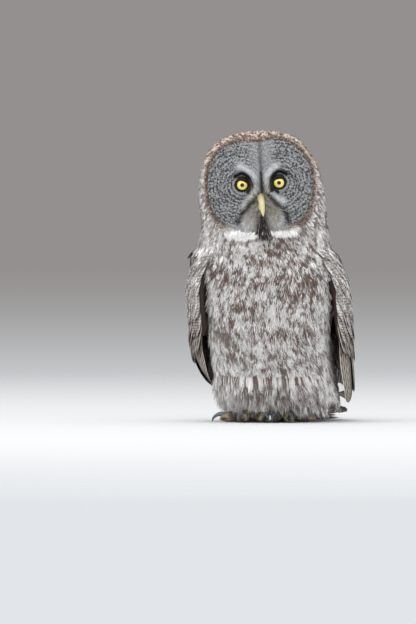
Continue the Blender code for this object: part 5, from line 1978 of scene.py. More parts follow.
@dataclass
class Eye:
    """One eye: a ball with a clear bulge in front, and the black lids round it."""

    side: Side
    iris: float = 7.5
    bulge: float = 0.9
    rings: int = 56
    sides: int = 72
    side_angle: float = 41.0
    up_angle: float = 28.0
    down_angle: float = 36.0
    fall: float = 8.0
    flatness: float = 2.7
    back_angle: float = 92.0

    def centre(self) -> Array:
        """The ball's middle."""
        x, z = EYES[self.side.word]
        return np.array([x, EYE_DEPTH, z])

    def ball(self, finish: bpy.types.Material) -> bpy.types.Object:
        """The eyeball: rings round the gaze at angle t, with a radius of r + bulge * (1 - (t/T)^2)^2.

        Args:
            finish: The material.

        Returns:
            The piece.
        """
        edge = math.asin(self.iris / EYE_RADIUS)
        share = np.linspace(0.012, 1.0, self.rings)[:, None] ** 1.3
        tilt = share * (math.pi - 0.03)
        around = np.linspace(0.0, TURN, self.sides, endpoint=False)[None, :]
        front = np.clip(1.0 - (tilt / edge) ** 2, 0.0, 1.0) ** 2
        radius = EYE_RADIUS + self.bulge * front
        rings = np.stack(
            [
                radius * np.sin(tilt) * np.cos(around),
                -radius * np.cos(tilt) + 0.0 * around,
                radius * np.sin(tilt) * np.sin(around),
            ],
            axis=-1,
        )
        points, faces = closed_stack(rings + self.centre())
        flat = np.where(tilt < math.pi / 2.0, np.sin(np.minimum(tilt, math.pi / 2.0)), 1.0)
        ring = np.broadcast_to(flat * EYE_RADIUS / self.iris, rings.shape[:2]).ravel()
        spoke_x = np.broadcast_to(np.cos(around), rings.shape[:2]).ravel()
        spoke_y = np.broadcast_to(np.sin(around), rings.shape[:2]).ravel()
        numbers = {
            "ring": np.append(ring, (0.0, 2.0)),
            "spoke_x": np.append(spoke_x, (0.0, 0.0)),
            "spoke_y": np.append(spoke_y, (0.0, 0.0)),
        }
        word = self.side.word
        piece = MeshMaker.build(f"eyeball_{word}", points, faces[:, ::-1], numbers)
        return MeshMaker.settle_in(piece, finish, Slot.EYE, f"eye_{word}")

    def opening(self, around: Array) -> Array:
        """The lids' opening in degrees from the gaze: an oblong whose flat top falls to the bill."""
        upward = np.sin(around)
        inner = np.cos(around) * -self.side.value
        upright = np.where(upward > 0.0, self.up_angle - self.fall * inner, self.down_angle)
        power = np.where(upward > 0.0, self.flatness, 2.0)
        total = np.abs(np.cos(around) / self.side_angle) ** power + np.abs(upward / upright) ** power
        return total ** (-1.0 / power)

    def lids(self, finish: bpy.types.Material) -> bpy.types.Object:
        """The lids: a rounded welt around the opening that thins toward the back of the ball.

        Args:
            finish: The material.

        Returns:
            The piece.
        """
        around = np.linspace(0.0, TURN, 96, endpoint=False)[:, None]
        share = np.concatenate([np.linspace(1.0, 0.0, 14), np.linspace(0.0, 1.0, 26)])[None, :]
        outside = np.concatenate([np.zeros(14), np.ones(26)])[None, :]
        opening = self.opening(around)
        edge = 1.6 * outside * smooth(0.10, 0.0, share) * 0.5
        angle = np.radians(opening + edge + (self.back_angle - opening) * share)
        fold = 0.22 * np.sin(share * 34.0) * smooth(0.06, 0.2, share) * smooth(0.9, 0.5, share)
        thick = 0.55 + 0.75 * bell(share - 0.10, 0.09) + 0.35 * share + fold
        radius = EYE_RADIUS + 0.12 + outside * thick
        turned = around - HEAD_ROLL
        flat = radius * np.sin(angle)
        grid = np.stack([flat * np.cos(turned), -radius * np.cos(angle), flat * np.sin(turned)], axis=-1)
        rows = grid.transpose(1, 0, 2) + self.centre()
        rows = np.concatenate([rows, rows[:1]], axis=0)
        faces = grid_faces(len(rows) - 1, rows.shape[1], closed=True)
        last = (len(rows) - 2) * rows.shape[1]
        here = np.arange(rows.shape[1])
        after = (here + 1) % rows.shape[1]
        closing = np.stack([last + here, last + after, after, here], axis=1)
        word = self.side.word
        points = rows[:-1].reshape(-1, 3)
        numbers = {"ink": 1.5, "white": 0.0}
        piece = MeshMaker.build(f"eyelids_{word}", points, np.concatenate([faces, closing]), numbers)
        return MeshMaker.settle_in(piece, finish, Slot.LID, f"lids_{word}")


@dataclass
class Bill:
    """The hooked bill: upper and lower halves with a ridge along the top and two nostrils."""

    upper: tuple = (
        (-11.0, -53.0, 325.5, 7.0, 5.4),
        (-10.7, -63.0, 324.4, 6.0, 4.9),
        (-9.9, -72.2, 319.8, 5.2, 4.5),
        (-8.9, -79.0, 312.5, 4.1, 3.8),
        (-8.0, -81.0, 303.6, 2.6, 2.3),
        (-7.4, -79.0, 298.2, 0.6, 0.5),
    )
    lower: tuple = (
        (-10.6, -54.0, 316.0, 3.4, 4.4),
        (-10.2, -64.0, 313.0, 3.0, 4.2),
        (-9.4, -71.5, 308.5, 2.2, 3.2),
        (-8.8, -75.0, 304.5, 0.6, 0.6),
    )
    nostril: tuple[float, float, float] = (-10.6, -69.0, 324.0)
    nostril_offset: float = 4.4
    sides: int = 56

    def half(self, path: tuple, ridge: float) -> tuple[Array, Array, Array]:
        """One half as a closed shell: an oval whose width falls by ridge * sin^2 toward its top.

        Args:
            path: Points of x, y, z, half height and half width.
            ridge: How much narrower the top is.

        Returns:
            Points, triangles and the share of the way along.
        """
        tube = TubeShape(path, (1.0, 0.0, 0.0))
        index, around = np.meshgrid(
            np.arange(tube.SAMPLES), np.linspace(0.0, TURN, self.sides, endpoint=False), indexing="ij"
        )
        top = np.clip(np.cos(around), 0.0, 1.0)
        tall = tube.half[index, 0] * np.cos(around)
        wide = tube.half[index, 1] * np.sin(around) * (1.0 - ridge * top**2)
        rings = tube.middle[index] + tube.side[index] * tall[..., None] + tube.up[index] * wide[..., None]
        points, faces = closed_stack(rings)
        share = np.broadcast_to(np.linspace(0.0, 1.0, tube.SAMPLES)[:, None], index.shape).ravel()
        return points, faces, np.append(share, (0.0, 1.0))

    def make(self, finish: bpy.types.Material) -> list[bpy.types.Object]:
        """Builds both halves; the nostrils are bell-shaped pits in the upper one's sides.

        Args:
            finish: The material.

        Returns:
            The two pieces.
        """
        points, faces, span = self.half(self.upper, 0.3)
        middle = np.array(self.nostril)
        for way in (-1.0, 1.0):
            place = middle + (way * self.nostril_offset, 0.0, 0.0)
            offset = (points - place) / (4.0, 1.5, 1.9)
            pit = np.exp(-((offset**2).sum(axis=1) ** 2))
            points[:, 0] -= way * 1.9 * pit
        upper = MeshMaker.build("upper_bill", points, faces, {"span": span})
        MeshMaker.settle_in(upper, finish, Slot.BILL, "bill_upper")
        points, faces, span = self.half(self.lower, 0.0)
        lower = MeshMaker.build("lower_bill", points, faces, {"span": span})
        MeshMaker.settle_in(lower, finish, Slot.BILL, "bill_lower")
        return [upper, lower]


class Growths:
    """Places of short feathers on a limb, settled on its own surface."""

    @staticmethod
    def on_limb(
        name: str,
        limbs: list[TubeShape],
        sizes: tuple[float, float, float, float],
        lean: Callable[[Array, Array], Array],
        dress: Callable[[Array], Marks],
        settings: tuple[TuftShape, float, int],
    ) -> bpy.types.Object:
        """Covers limbs with tufts.

        Args:
            name: The piece's name.
            limbs: The limbs.
            sizes: Spacing, length, half width and depth.
            lean: Gives the lie from places and normals.
            dress: Gives the marks from the tips' places.
            settings: The tuft's shape, its lift and a seed.

        Returns:
            The object, without a material.
        """
        spacing, length, half_width, depth = sizes
        shape, lift, seed = settings
        random = np.random.default_rng(seed)
        points = []
        homes = []
        lengths = []
        for number, limb in enumerate(limbs):
            roots, home = limb.scatter(spacing, random)
            roots, normals = limb.settle(roots)
            count = len(roots)
            taper = np.clip(np.interp(home[:, 1], (0.7, 1.0), (1.0, 0.62)), 0.5, 1.0)
            size = length * taper * random.uniform(0.8, 1.15, count)
            growth = Growth(
                roots,
                normals,
                lean(roots, normals),
                size,
                half_width * taper * random.uniform(0.85, 1.15, count),
                np.full(count, depth),
                0.25,
                0.15,
                lift,
            )
            points.append(growth.spread(shape, limb.settle, random))
            homes.append(np.stack([(home[:, 0] + number) / len(limbs), home[:, 1]], axis=1))
            lengths.append(size)
        points = np.concatenate(points)
        marks = dress(points[:, shape.along > 0.6].mean(axis=1))
        return tuft_piece(name, points, shape, np.concatenate(homes), marks, np.concatenate(lengths), random)


@dataclass
class Foot:
    """One leg and foot: feathered toes with claws."""

    side: Side
    markings: Markings
    plan: FootPlan = field(init=False)
    toes: list[TubeShape] = field(init=False)
    leg: TubeShape = field(init=False)

    def __post_init__(self) -> None:
        """Works out the toes and the leg from the plan."""
        self.plan = FEET[self.side]
        self.toes = [TubeShape(self.toe_path(angle, length)) for angle, length in self.plan.toes]
        self.leg = TubeShape(self.plan.leg, (0.0, 1.0, 0.0))

    def toe_path(self, angle: float, length: float) -> tuple:
        """A toe's rings along its direction, by the four stations."""
        turn = math.radians(angle)
        x, y = self.plan.middle
        return tuple(
            (
                x + math.sin(turn) * (share * length + extra),
                y - math.cos(turn) * (share * length + extra),
                height,
                radius,
                radius,
            )
            for share, extra, height, radius in TOE_STATIONS
        )

    def claws(self, finish: bpy.types.Material) -> bpy.types.Object:
        """The foot's four claws: tapering tubes that curve to the floor.

        Args:
            finish: The material.

        Returns:
            The piece.
        """
        points = []
        faces = []
        spans = []
        start = 0
        x, y = self.plan.middle
        for angle, length in self.plan.toes:
            turn = math.radians(angle)
            path = tuple(
                (
                    x + math.sin(turn) * (length + ahead),
                    y - math.cos(turn) * (length + ahead),
                    height,
                    radius * 0.85,
                    radius,
                )
                for (ahead, height), radius in zip(CLAW_PATH, CLAW_RADII)
            )
            tube = TubeShape(path)
            shell, triangles = tube.shell(20)
            points.append(shell)
            faces.append(triangles + start)
            share = np.repeat(np.linspace(0.0, 1.0, tube.SAMPLES), 20)
            spans.append(np.append(share, (0.0, 1.0)))
            start += len(shell)
        joined = np.concatenate(points)
        joined[:, 2] = np.maximum(joined[:, 2], 0.3)
        word = self.side.word
        numbers = {"span": np.concatenate(spans)}
        piece = MeshMaker.build(f"claws_{word}", joined, np.concatenate(faces), numbers)
        nodes = [f"claw_{word}_{index}" for index in range(1, 5)]
        return MeshMaker.settle_in(piece, finish, Slot.CLAW, *nodes)

    def toe_lie(self, points: Array, normals: Array) -> Array:
        """Toe feathers run out along the toe and down."""
        offset = points - np.array([*self.plan.middle, 8.0])
        return unit(offset * (1.0, 1.0, 0.0)) + (0.0, 0.0, -0.45)

    def leg_lie(self, points: Array, normals: Array) -> Array:
        """Leg feathers hang down."""
        return np.broadcast_to((0.0, 0.0, -1.0), points.shape)

    def toe_marks(self, tips: Array) -> Marks:
        """Toe feathers are brown-grey, flecked, and yellowish at the toes' ends."""
        far = smooth(32.0, 46.0, np.hypot(tips[:, 0] - self.plan.middle[0], tips[:, 1] - self.plan.middle[1]))
        fleck = noise(tips, 5.0, 3)
        ink = 0.18 + 0.50 * smooth(0.42, 0.60, fleck) - 0.10 * far
        return Marks(np.clip(ink, 0.0, 1.0), 0.75 * far * smooth(0.62, 0.45, fleck), 0.8 + 0.0 * far, 0.2 + 0.0 * far)

    def coat(self, toe_finish: bpy.types.Material, leg_finish: bpy.types.Material) -> None:
        """Covers the toes and the leg with short feathers.

        Args:
            toe_finish: The toes' material.
            leg_finish: The leg's material.
        """
        word = self.side.word
        toes = Growths.on_limb(
            f"toe_coat_{word}",
            self.toes,
            (1.7, 8.5, 1.7, 2.8),
            self.toe_lie,
            self.toe_marks,
            (plume(3, (0.0, 0.5, 1.0), 0.34), 1.9, 41),
        )
        MeshMaker.settle_in(toes, toe_finish, Slot.TOE)
        legs = Growths.on_limb(
            f"leg_coat_{word}",
            [self.leg],
            (2.8, 17.0, 3.0, 5.0),
            self.leg_lie,
            self.markings.coat,
            (plume(4), 1.4, 43),
        )
        MeshMaker.settle_in(legs, leg_finish, Slot.LEG)


@dataclass(frozen=True)
class Tier:
    """One tier of flight feathers or coverts on a wing: places as shares of the wing's sheet."""

    name: str
    count: int
    roots: tuple[float, float]
    root_spread: tuple[float, float]
    tips: tuple[float, float]
    tip_spread: tuple[float, float]
    half_width: float
    lift: tuple[float, float]
    pitch: float = 0.0
    slope: float = -0.10
    rows: int = 12
    columns: int = 5
    point: float = 0.22
    finish: str = "covert"


def lesser_rows() -> tuple[Tier, ...]:
    """The small coverts of the wing's upper part, row over row like tiles."""
    return tuple(
        Tier(
            f"lesser coverts {row + 1}",
            20 + (row % 2),
            (start, start),
            (0.02 + 0.02 * (row % 2), 0.98 - 0.02 * (row % 2)),
            (start + 0.105, start + 0.105),
            (0.02 + 0.02 * (row % 2), 0.98 - 0.02 * (row % 2)),
            6.2,
            (5.0 + 0.3 * row, 10.5 - 0.15 * row),
            slope=-0.05,
            rows=9,
            columns=5,
            point=0.45,
        )
        for row, start in enumerate(np.arange(-0.035, 0.16, 0.030).tolist())
    )


WING_TIERS = (
    Tier("primaries", 10, (0.29, 0.27), (0.07, 0.40), (0.68, 1.0), (0.06, 0.55), 10.5, (0.8, 0.8), 0.7, rows=26, columns=9, finish="flight"),
    Tier("secondaries", 13, (0.28, 0.22), (0.36, 0.88), (0.62, 0.82), (0.34, 0.98), 12.5, (3.2, 7.0), 0.2, rows=24, columns=9, finish="flight"),
    Tier("greater coverts", 16, (0.24, 0.20), (0.05, 0.95), (0.41, 0.49), (0.06, 0.96), 9.0, (3.2, 8.0), slope=-0.12, rows=16, columns=7, point=0.35, finish="flight"),
    Tier("lower median coverts", 17, (0.19, 0.16), (0.05, 0.95), (0.345, 0.38), (0.05, 0.95), 8.0, (3.8, 9.2), slope=-0.10, rows=12, columns=7, point=0.4),
    Tier("median coverts", 18, (0.13, 0.11), (0.04, 0.96), (0.275, 0.30), (0.04, 0.96), 7.2, (4.4, 9.8), slope=-0.08, rows=11, columns=5, point=0.42),
)


def feather_width(step: Array, point: float) -> Array:
    """A long feather's share of its full half width from root to tip.

    It widens to full at 0.45, and over the last part, point, falls as a quarter of an ellipse.

    Args:
        step: Places along it.
        point: The share of the length that the tip's rounding takes.

    Returns:
        Shares of the half width.
    """
    rise = 0.45 + 0.55 * smooth(0.0, 0.45, step)
    end = np.clip((step - 1.0 + point) / point, 0.0, 1.0)
    return rise * np.maximum(0.10, np.sqrt(np.clip(1.0 - end**2, 0.0, 1.0)))


@dataclass
class Wing:
    """One folded wing: tiers of feathers over its arm."""

    side: Side
    shape: WingShape
    markings: Markings
    seed: int = 61

    def feather_marks(self, tier: Tier, points: Array) -> Marks:
        """Marks of a tier's feathers.

        Coverts are mottled brown and white; dark bands and pale spots come on the lower ones.

        Args:
            tier: The tier.
            points: Points of the feathers, feather by vertex.

        Returns:
            The marks.
        """
        fleck = noise(points, (3.0, 3.0, 3.6), 21)
        cloud = noise(points, (9.0, 9.0, 13.0), 22)
        low = smooth(175.0, 110.0, points[..., 2])
        ink = -0.04 + 0.62 * smooth(0.46, 0.60, fleck) + 0.35 * (cloud - 0.5) + 0.28 * low
        white = 0.85 * smooth(0.42, 0.58, cloud) * (1.0 - low * 0.5) + 0.35 * smooth(0.5, 0.7, fleck)
        return Marks(np.clip(ink, 0.0, 1.0), np.clip(white, 0.0, 1.0), 0.8 + 0.0 * ink, 0.42 + 0.2 * low)

    def lay(self, tier: Tier, finish: bpy.types.Material, random: np.random.Generator) -> bpy.types.Object:
        """Lays one tier.

        A vertex at step s and column c lies at the sheet's place (root + (tip - root) s, spread at s
        + c * half width), lifted by the tier's lift at s, its own pitch, a tilt across it, a camber
        of c^2 and a small ridge at the shaft.

        Args:
            tier: The tier.
            finish: The material.
            random: The source of variation.

        Returns:
            The piece.
        """
        share = np.linspace(0.0, 1.0, tier.count)[:, None, None]
        step = np.linspace(0.0, 1.0, tier.rows)[None, :, None]
        column = np.linspace(-1.0, 1.0, tier.columns)[None, None, :]
        index = np.arange(tier.count)[:, None, None]
        jitter = random.uniform(-1.0, 1.0, (4, tier.count))[:, :, None, None]
        loose = 1.0 if tier.finish == "flight" else 2.6

        def between(pair: tuple[float, float], part: Array) -> Array:
            return pair[0] + (pair[1] - pair[0]) * part

        root = between(tier.roots, share)
        tip = between(tier.tips, share) + 0.008 * loose * jitter[0]
        where = root + (tip - root) * step * (1.0 - 0.05 * column**2)
        spread = between(tier.root_spread, share) * (1.0 - step) + between(tier.tip_spread, share) * step
        spread = spread + 0.006 * loose * jitter[1] * step
        zero = np.zeros_like(where)
        _, _, _, breadth = self.shape.frame(where, np.full_like(zero, 0.5))
        width = feather_width(step, tier.point) * tier.half_width * (1.0 + 0.06 * jitter[2])
        uneven = column * (1.0 - 0.22 * np.sign(column) * (tier.finish == "flight"))
        across = spread + uneven * width / breadth
        points, _, _, _ = self.shape.frame(where, across)
        _, normals, _, _ = self.shape.frame(where, spread + zero)
        lift = between(tier.lift, step) + tier.pitch * index * step + 0.35 * jitter[3] * step
        lift = lift + uneven * width * tier.slope - 0.07 * column**2 * width
        lift = lift + 0.28 * bell(column, 0.12)
        points = points + normals * lift[..., None]
        faces = grid_faces(tier.rows, tier.columns)
        flat = TuftShape(
            np.broadcast_to(step[0], (tier.rows, tier.columns)).ravel(),
            np.broadcast_to(column[0], (tier.rows, tier.columns)).ravel(),
            np.zeros(tier.rows * tier.columns, dtype=int),
            faces,
        )
        grid = points.reshape(tier.count, -1, 3)
        grid[..., 2] = np.maximum(grid[..., 2], 0.6)
        marks = self.feather_marks(tier, grid)
        length = np.linalg.norm(grid[:, -tier.columns // 2] - grid[:, tier.columns // 2], axis=1)
        home = np.stack([np.broadcast_to(spread[:, 0, 0], tier.count), root[:, 0, 0] * 0.9 + 0.05], axis=1)
        extra = {"span": np.broadcast_to(flat.along, (tier.count, len(flat.along)))}
        name = f"{tier.name.replace(' ', '_')}_{self.side.word}"
        piece = tuft_piece(name, grid, flat, home, marks, length, random, extra)
        nodes = [f"wing_{self.side.word}"] if tier.name == "primaries" else []
        return MeshMaker.settle_in(piece, finish, Slot.FLIGHT, *nodes)

    def shoulder(self, body: BodyShape, finish: bpy.types.Material) -> bpy.types.Object:
        """Soft feathers from the body over the wing's upper edge.

        Args:
            body: The body's shape.
            finish: The material.

        Returns:
            The piece.
        """
        random = np.random.default_rng(self.seed + 5)
        roots = body.scatter(3.4, 222.0, 268.0, random)
        roots, normals = body.settle(roots)
        edge, _, _, _ = self.shape.frame(np.full(40, 0.0), np.linspace(-0.02, 1.02, 40))
        apart = np.linalg.norm((roots[:, None] - edge[None]) * (1.0, 1.0, 0.55), axis=-1).min(axis=1)
        keep = apart < 15.0
        roots, normals = roots[keep], normals[keep]
        count = len(roots)
        down = np.broadcast_to((0.0, 0.12, -1.0), roots.shape)
        length = random.uniform(27.0, 36.0, count)
        growth = Growth(
            roots, normals, down, length, random.uniform(4.2, 5.4, count), np.full(count, 8.0), 0.3, 0.12, 1.4, 0.12, -0.5
        )
        shape = vane(7, 5, 0.2)
        points = growth.spread(shape, body.settle, random)
        marks = self.markings.coat(points[:, shape.along > 0.6].mean(axis=1))
        home = np.stack([(roots[:, 1] + 100.0) / 220.0, (roots[:, 2] - 220.0) / 50.0], axis=1)
        piece = tuft_piece(f"shoulder_coat_{self.side.word}", points, shape, home, marks, length, random)
        return MeshMaker.settle_in(piece, finish, Slot.BACK)

    def make(self, flight: bpy.types.Material, covert: bpy.types.Material) -> None:
        """Lays all tiers, the lowest first.

        Args:
            flight: The long feathers' material.
            covert: The coverts' material.
        """
        random = np.random.default_rng(self.seed + self.side.value)
        for tier in (*WING_TIERS, *reversed(lesser_rows())):
            self.lay(tier, flight if tier.finish == "flight" else covert, random)


TAIL_PATH = (
    (60.0, 120.0, 38.0),
    (64.0, 142.0, 27.0),
    (68.0, 168.0, 12.0),
    (73.0, 204.0, 1.5),
    (79.0, 250.0, 0.0),
    (85.0, 296.0, 0.0),
)
UNDERTAIL_PATH = ((60.0, 138.0, 9.5), (64.0, 154.0, 8.0), (68.0, 170.0, 5.0), (71.0, 184.0, 2.0))


@dataclass
class Tail:
    """The tail laid back on the floor: twelve long feathers with coverts over and under their roots."""

    markings: Markings
    count: int = 12
    half_width: float = 15.5
    fan: float = 12.0
    pitch: float = 1.05
    start: float = 0.30

    def strip(self, path: tuple, share: Array, offset: Array, lift: Array) -> Array:
        """Points beside and above a path.

        Args:
            path: The path's points.
            share: Places along it.
            offset: Distances to its side.
            lift: Heights above it.

        Returns:
            The points.
        """
        line = np.array(path, float)
        place = curve_through(line, share)
        ahead = unit(
            curve_through(line, np.minimum(share + 0.01, 1.0)) - curve_through(line, np.maximum(share - 0.01, 0.0))
        )
        side = unit(np.cross(ahead, (0.0, 0.0, 1.0)))
        up = np.cross(side, ahead)
        place[..., 2] = np.maximum(place[..., 2], 0.0)
        return place + side * offset[..., None] + up * lift[..., None]

    def feathers(self, finish: bpy.types.Material) -> bpy.types.Object:
        """The twelve long feathers, the outer pairs lowest and a little shorter.

        Args:
            finish: The material.

        Returns:
            The piece.
        """
        random = np.random.default_rng(81)
        rows, columns = 34, 11
        index = np.arange(self.count)[:, None, None]
        outward = 1.0 - (index // 2) / (self.count / 2.0 - 1.0)
        way = np.where(index % 2, -1.0, 1.0)
        step = np.linspace(0.0, 1.0, rows)[None, :, None]
        column = np.linspace(-1.0, 1.0, columns)[None, None, :]
        end = 1.0 - 0.05 * outward
        share = self.start + (end - self.start) * step * (1.0 - 0.035 * column**2)
        offset = way * (1.5 + self.fan * outward) * (0.35 + 0.65 * step)
        width = feather_width(step, 0.16) * self.half_width * random.uniform(0.96, 1.02, self.count)[:, None, None]
        wave = 0.25 * np.sin(step * 7.0 + index * 1.7)
        lift = 0.5 + self.pitch * index + wave - 0.03 * column**2 * width + 0.4 * bell(column, 0.10)
        points = self.strip(TAIL_PATH, share, offset + column * width, lift + 0.0 * share)
        grid = points.reshape(self.count, -1, 3)
        grid[..., 2] = np.maximum(grid[..., 2], 0.3 + 0.8 * index[:, 0])
        flat = TuftShape(
            np.broadcast_to(step[0], (rows, columns)).ravel(),
            np.broadcast_to(column[0], (rows, columns)).ravel(),
            np.zeros(rows * columns, dtype=int),
            grid_faces(rows, columns),
        )
        zeros = np.zeros(self.count)
        home = np.stack([np.linspace(0.1, 0.9, self.count), zeros + 0.3], axis=1)
        marks = Marks(zeros, zeros, zeros, zeros)
        extra = {"span": np.broadcast_to(flat.along, (self.count, len(flat.along)))}
        length = np.full(self.count, 150.0)
        piece = tuft_piece("tail_feathers", grid, flat, home, marks, length, random, extra)
        return MeshMaker.settle_in(piece, finish, Slot.TAIL, "tail")

    def coverts(self, finish: bpy.types.Material) -> bpy.types.Object:
        """Soft feathers over the tail's root, in four rows.

        Args:
            finish: The material.

        Returns:
            The piece.
        """
        random = np.random.default_rng(82)
        row, number = np.meshgrid(np.arange(7), np.linspace(-1.0, 1.0, 13), indexing="ij")
        row, number = row.ravel(), number.ravel() + random.uniform(-0.05, 0.05, 91)
        shape = vane(9, 5, 0.2)
        root = 0.10 + 0.045 * row + random.uniform(-0.01, 0.01, 91)
        length = 0.26 + 0.02 * random.random(91)
        share = root[:, None] + length[:, None] * shape.along
        offset = number[:, None] * 22.0 * (1.0 + 0.1 * shape.along) + shape.across * 6.0
        lift = 17.0 - 1.2 * row[:, None] - 5.0 * number[:, None] ** 2 + 2.2 * shape.along
        lift = lift - 0.35 * shape.across**2 * 3.0 + random.uniform(-0.5, 0.5, 91)[:, None] * shape.along
        points = self.strip(TAIL_PATH, share, offset, lift)
        marks = self.markings.coat(points)
        marks.bar = marks.bar * 0.0 + 0.6
        home = np.stack([number * 0.4 + 0.5, root * 2.0], axis=1)
        piece = tuft_piece("uppertail_coat", points, shape, home, marks, length * 180.0, random)
        return MeshMaker.settle_in(piece, finish, Slot.TAIL)

    def underside(self, finish: bpy.types.Material) -> bpy.types.Object:
        """Fluffy feathers under the tail's root, pale with wavy bars.

        Args:
            finish: The material.

        Returns:
            The piece.
        """
        random = np.random.default_rng(83)
        count = 900
        root = random.uniform(0.0, 0.62, count)
        turn = random.uniform(-1.0, 1.0, count) * 1.9
        shape = plume(5)
        share = np.clip(root[:, None] + 0.42 * shape.along * random.uniform(0.8, 1.1, count)[:, None], 0.0, 1.0)
        wide = 27.0 * (1.0 - 0.2 * share)
        angle = turn[:, None] + shape.across * 0.13
        offset = np.sin(angle) * wide
        lift = -np.cos(angle) * (6.0 - 2.0 * share) + random.uniform(-0.6, 0.9, count)[:, None] * shape.along
        points = self.strip(UNDERTAIL_PATH, share, offset, lift)
        points[..., 2] = np.maximum(points[..., 2], 0.4)
        zeros = np.zeros(count)
        marks = Marks(0.10 + zeros, 0.5 + zeros, 0.8 + zeros, 0.55 + zeros)
        home = np.stack([turn / 4.0 + 0.5, root], axis=1)
        piece = tuft_piece("undertail_coat", points, shape, home, marks, np.full(count, 20.0), random)
        return MeshMaker.settle_in(piece, finish, Slot.UNDERTAIL, "undertail_coverts")


@dataclass
class Studio:
    """A pale floor that fades into the backdrop, soft light and the camera."""

    lens: float = 500.0
    distance: float = 12.57
    aim: tuple[float, float, float] = (-0.091, -0.1, 0.1595)
    rise: float = 0.012
    floor_radius: float = 40.0

    def floor(self) -> bpy.types.Object:
        """A wide disc under the owl.

        Returns:
            The floor.
        """
        around = np.linspace(0.0, TURN, 96, endpoint=False)
        radii = np.array([0.3, 1.0, 3.0, 10.0, self.floor_radius])
        rings = np.stack(
            [np.outer(radii, np.cos(around)), np.outer(radii, np.sin(around)), np.zeros((5, 96))], axis=-1
        )
        points = np.concatenate([rings.reshape(-1, 3), np.zeros((1, 3))])
        faces = grid_faces(5, 96, closed=True)[:, ::-1]
        mesh = bpy.data.meshes.new("studio_floor")
        here = np.arange(96)
        middle = np.stack([here, (here + 1) % 96, np.full(96, 480)], axis=1)
        mesh.from_pydata(points.tolist(), [], faces.tolist() + middle.tolist())
        graph = Graph("floor_paint")
        x, y, z = graph.split(graph.place())
        far = (x * x + y * y).math("SQRT").step(0.9, 4.0)
        paint = graph.add(
            "ShaderNodeBsdfPrincipled",
            {"Base Color": rgb(232, 234, 236), "Roughness": 0.9, "Specular IOR Level": 0.1},
        )
        clear = graph.add("ShaderNodeBsdfTransparent")
        mixed = graph.add("ShaderNodeMixShader", {0: far, 1: paint, 2: clear})
        graph.add("ShaderNodeOutputMaterial", {"Surface": mixed})
        mesh.materials.append(graph.material)
        made = bpy.data.objects.new("studio_floor", mesh)
        bpy.context.scene.collection.objects.link(made)
        return made

    def world(self) -> None:
        """A backdrop that is pale low down and grey above, with plain soft light from all round."""
        scene = bpy.context.scene
        scene.world = bpy.data.worlds.new("studio_world")
        scene.world.use_nodes = True
        tree = scene.world.node_tree
        tree.nodes.clear()
        coordinates = tree.nodes.new("ShaderNodeTexCoord")
        split = tree.nodes.new("ShaderNodeSeparateXYZ")
        ramp = tree.nodes.new("ShaderNodeMapRange")
        ramp.interpolation_type = "SMOOTHSTEP"
        ramp.inputs[1].default_value = -0.030
        ramp.inputs[2].default_value = -0.006
        mix = tree.nodes.new("ShaderNodeMix")
        mix.data_type = "RGBA"
        mix.inputs[6].default_value = rgb(226, 230, 234)
        mix.inputs[7].default_value = rgb(147, 144, 143)
        seen = tree.nodes.new("ShaderNodeBackground")
        light = tree.nodes.new("ShaderNodeBackground")
        light.inputs[0].default_value = rgb(253, 252, 251)
        light.inputs[1].default_value = 0.88
        path = tree.nodes.new("ShaderNodeLightPath")
        choose = tree.nodes.new("ShaderNodeMixShader")
        output = tree.nodes.new("ShaderNodeOutputWorld")
        tree.links.new(coordinates.outputs["Generated"], split.inputs[0])
        tree.links.new(split.outputs[2], ramp.inputs[0])
        tree.links.new(ramp.outputs[0], mix.inputs[0])
        tree.links.new(mix.outputs[2], seen.inputs[0])
        tree.links.new(path.outputs["Is Camera Ray"], choose.inputs[0])
        tree.links.new(light.outputs[0], choose.inputs[1])
        tree.links.new(seen.outputs[0], choose.inputs[2])
        tree.links.new(choose.outputs[0], output.inputs[0])

    def lamp(self, name: str, place: tuple, size: float, power: float) -> None:
        """A soft square lamp that points at the owl.

        Args:
            name: Its name.
            place: Where it hangs.
            size: Its side.
            power: Its power.
        """
        data = bpy.data.lights.new(name, "AREA")
        data.size = size
        data.energy = power
        made = bpy.data.objects.new(name, data)
        bpy.context.scene.collection.objects.link(made)
        way = np.array([0.0, 0.0, 0.2]) - np.array(place)
        turn = math.atan2(way[0], -way[1])
        tilt = math.atan2(math.hypot(way[0], way[1]), -way[2])
        made.location = place
        made.rotation_euler = (tilt, 0.0, turn + math.pi)

    def camera(self) -> None:
        """A long lens, nearly level with the owl's middle."""
        data = bpy.data.cameras.new("studio_camera")
        data.lens = self.lens
        data.sensor_fit = "AUTO"
        data.sensor_width = 36.0
        data.clip_end = 200.0
        made = bpy.data.objects.new("studio_camera", data)
        bpy.context.scene.collection.objects.link(made)
        x, y, z = self.aim
        rise = self.distance * self.rise
        made.location = (x, y - self.distance, z + rise)
        made.rotation_euler = (math.pi / 2.0 - math.atan2(rise, self.distance), 0.0, 0.0)
        bpy.context.scene.camera = made

    def make(self) -> None:
        """Sets up floor, backdrop, lamps, camera and the plain view of colours."""
        self.floor()
        self.world()
        self.lamp("top_light", (-0.5, -0.9, 2.6), 1.8, 24.0)
        self.lamp("front_fill", (0.6, -3.0, 1.2), 2.4, 12.0)
        self.camera()
        bpy.context.scene.view_settings.view_transform = "Standard"


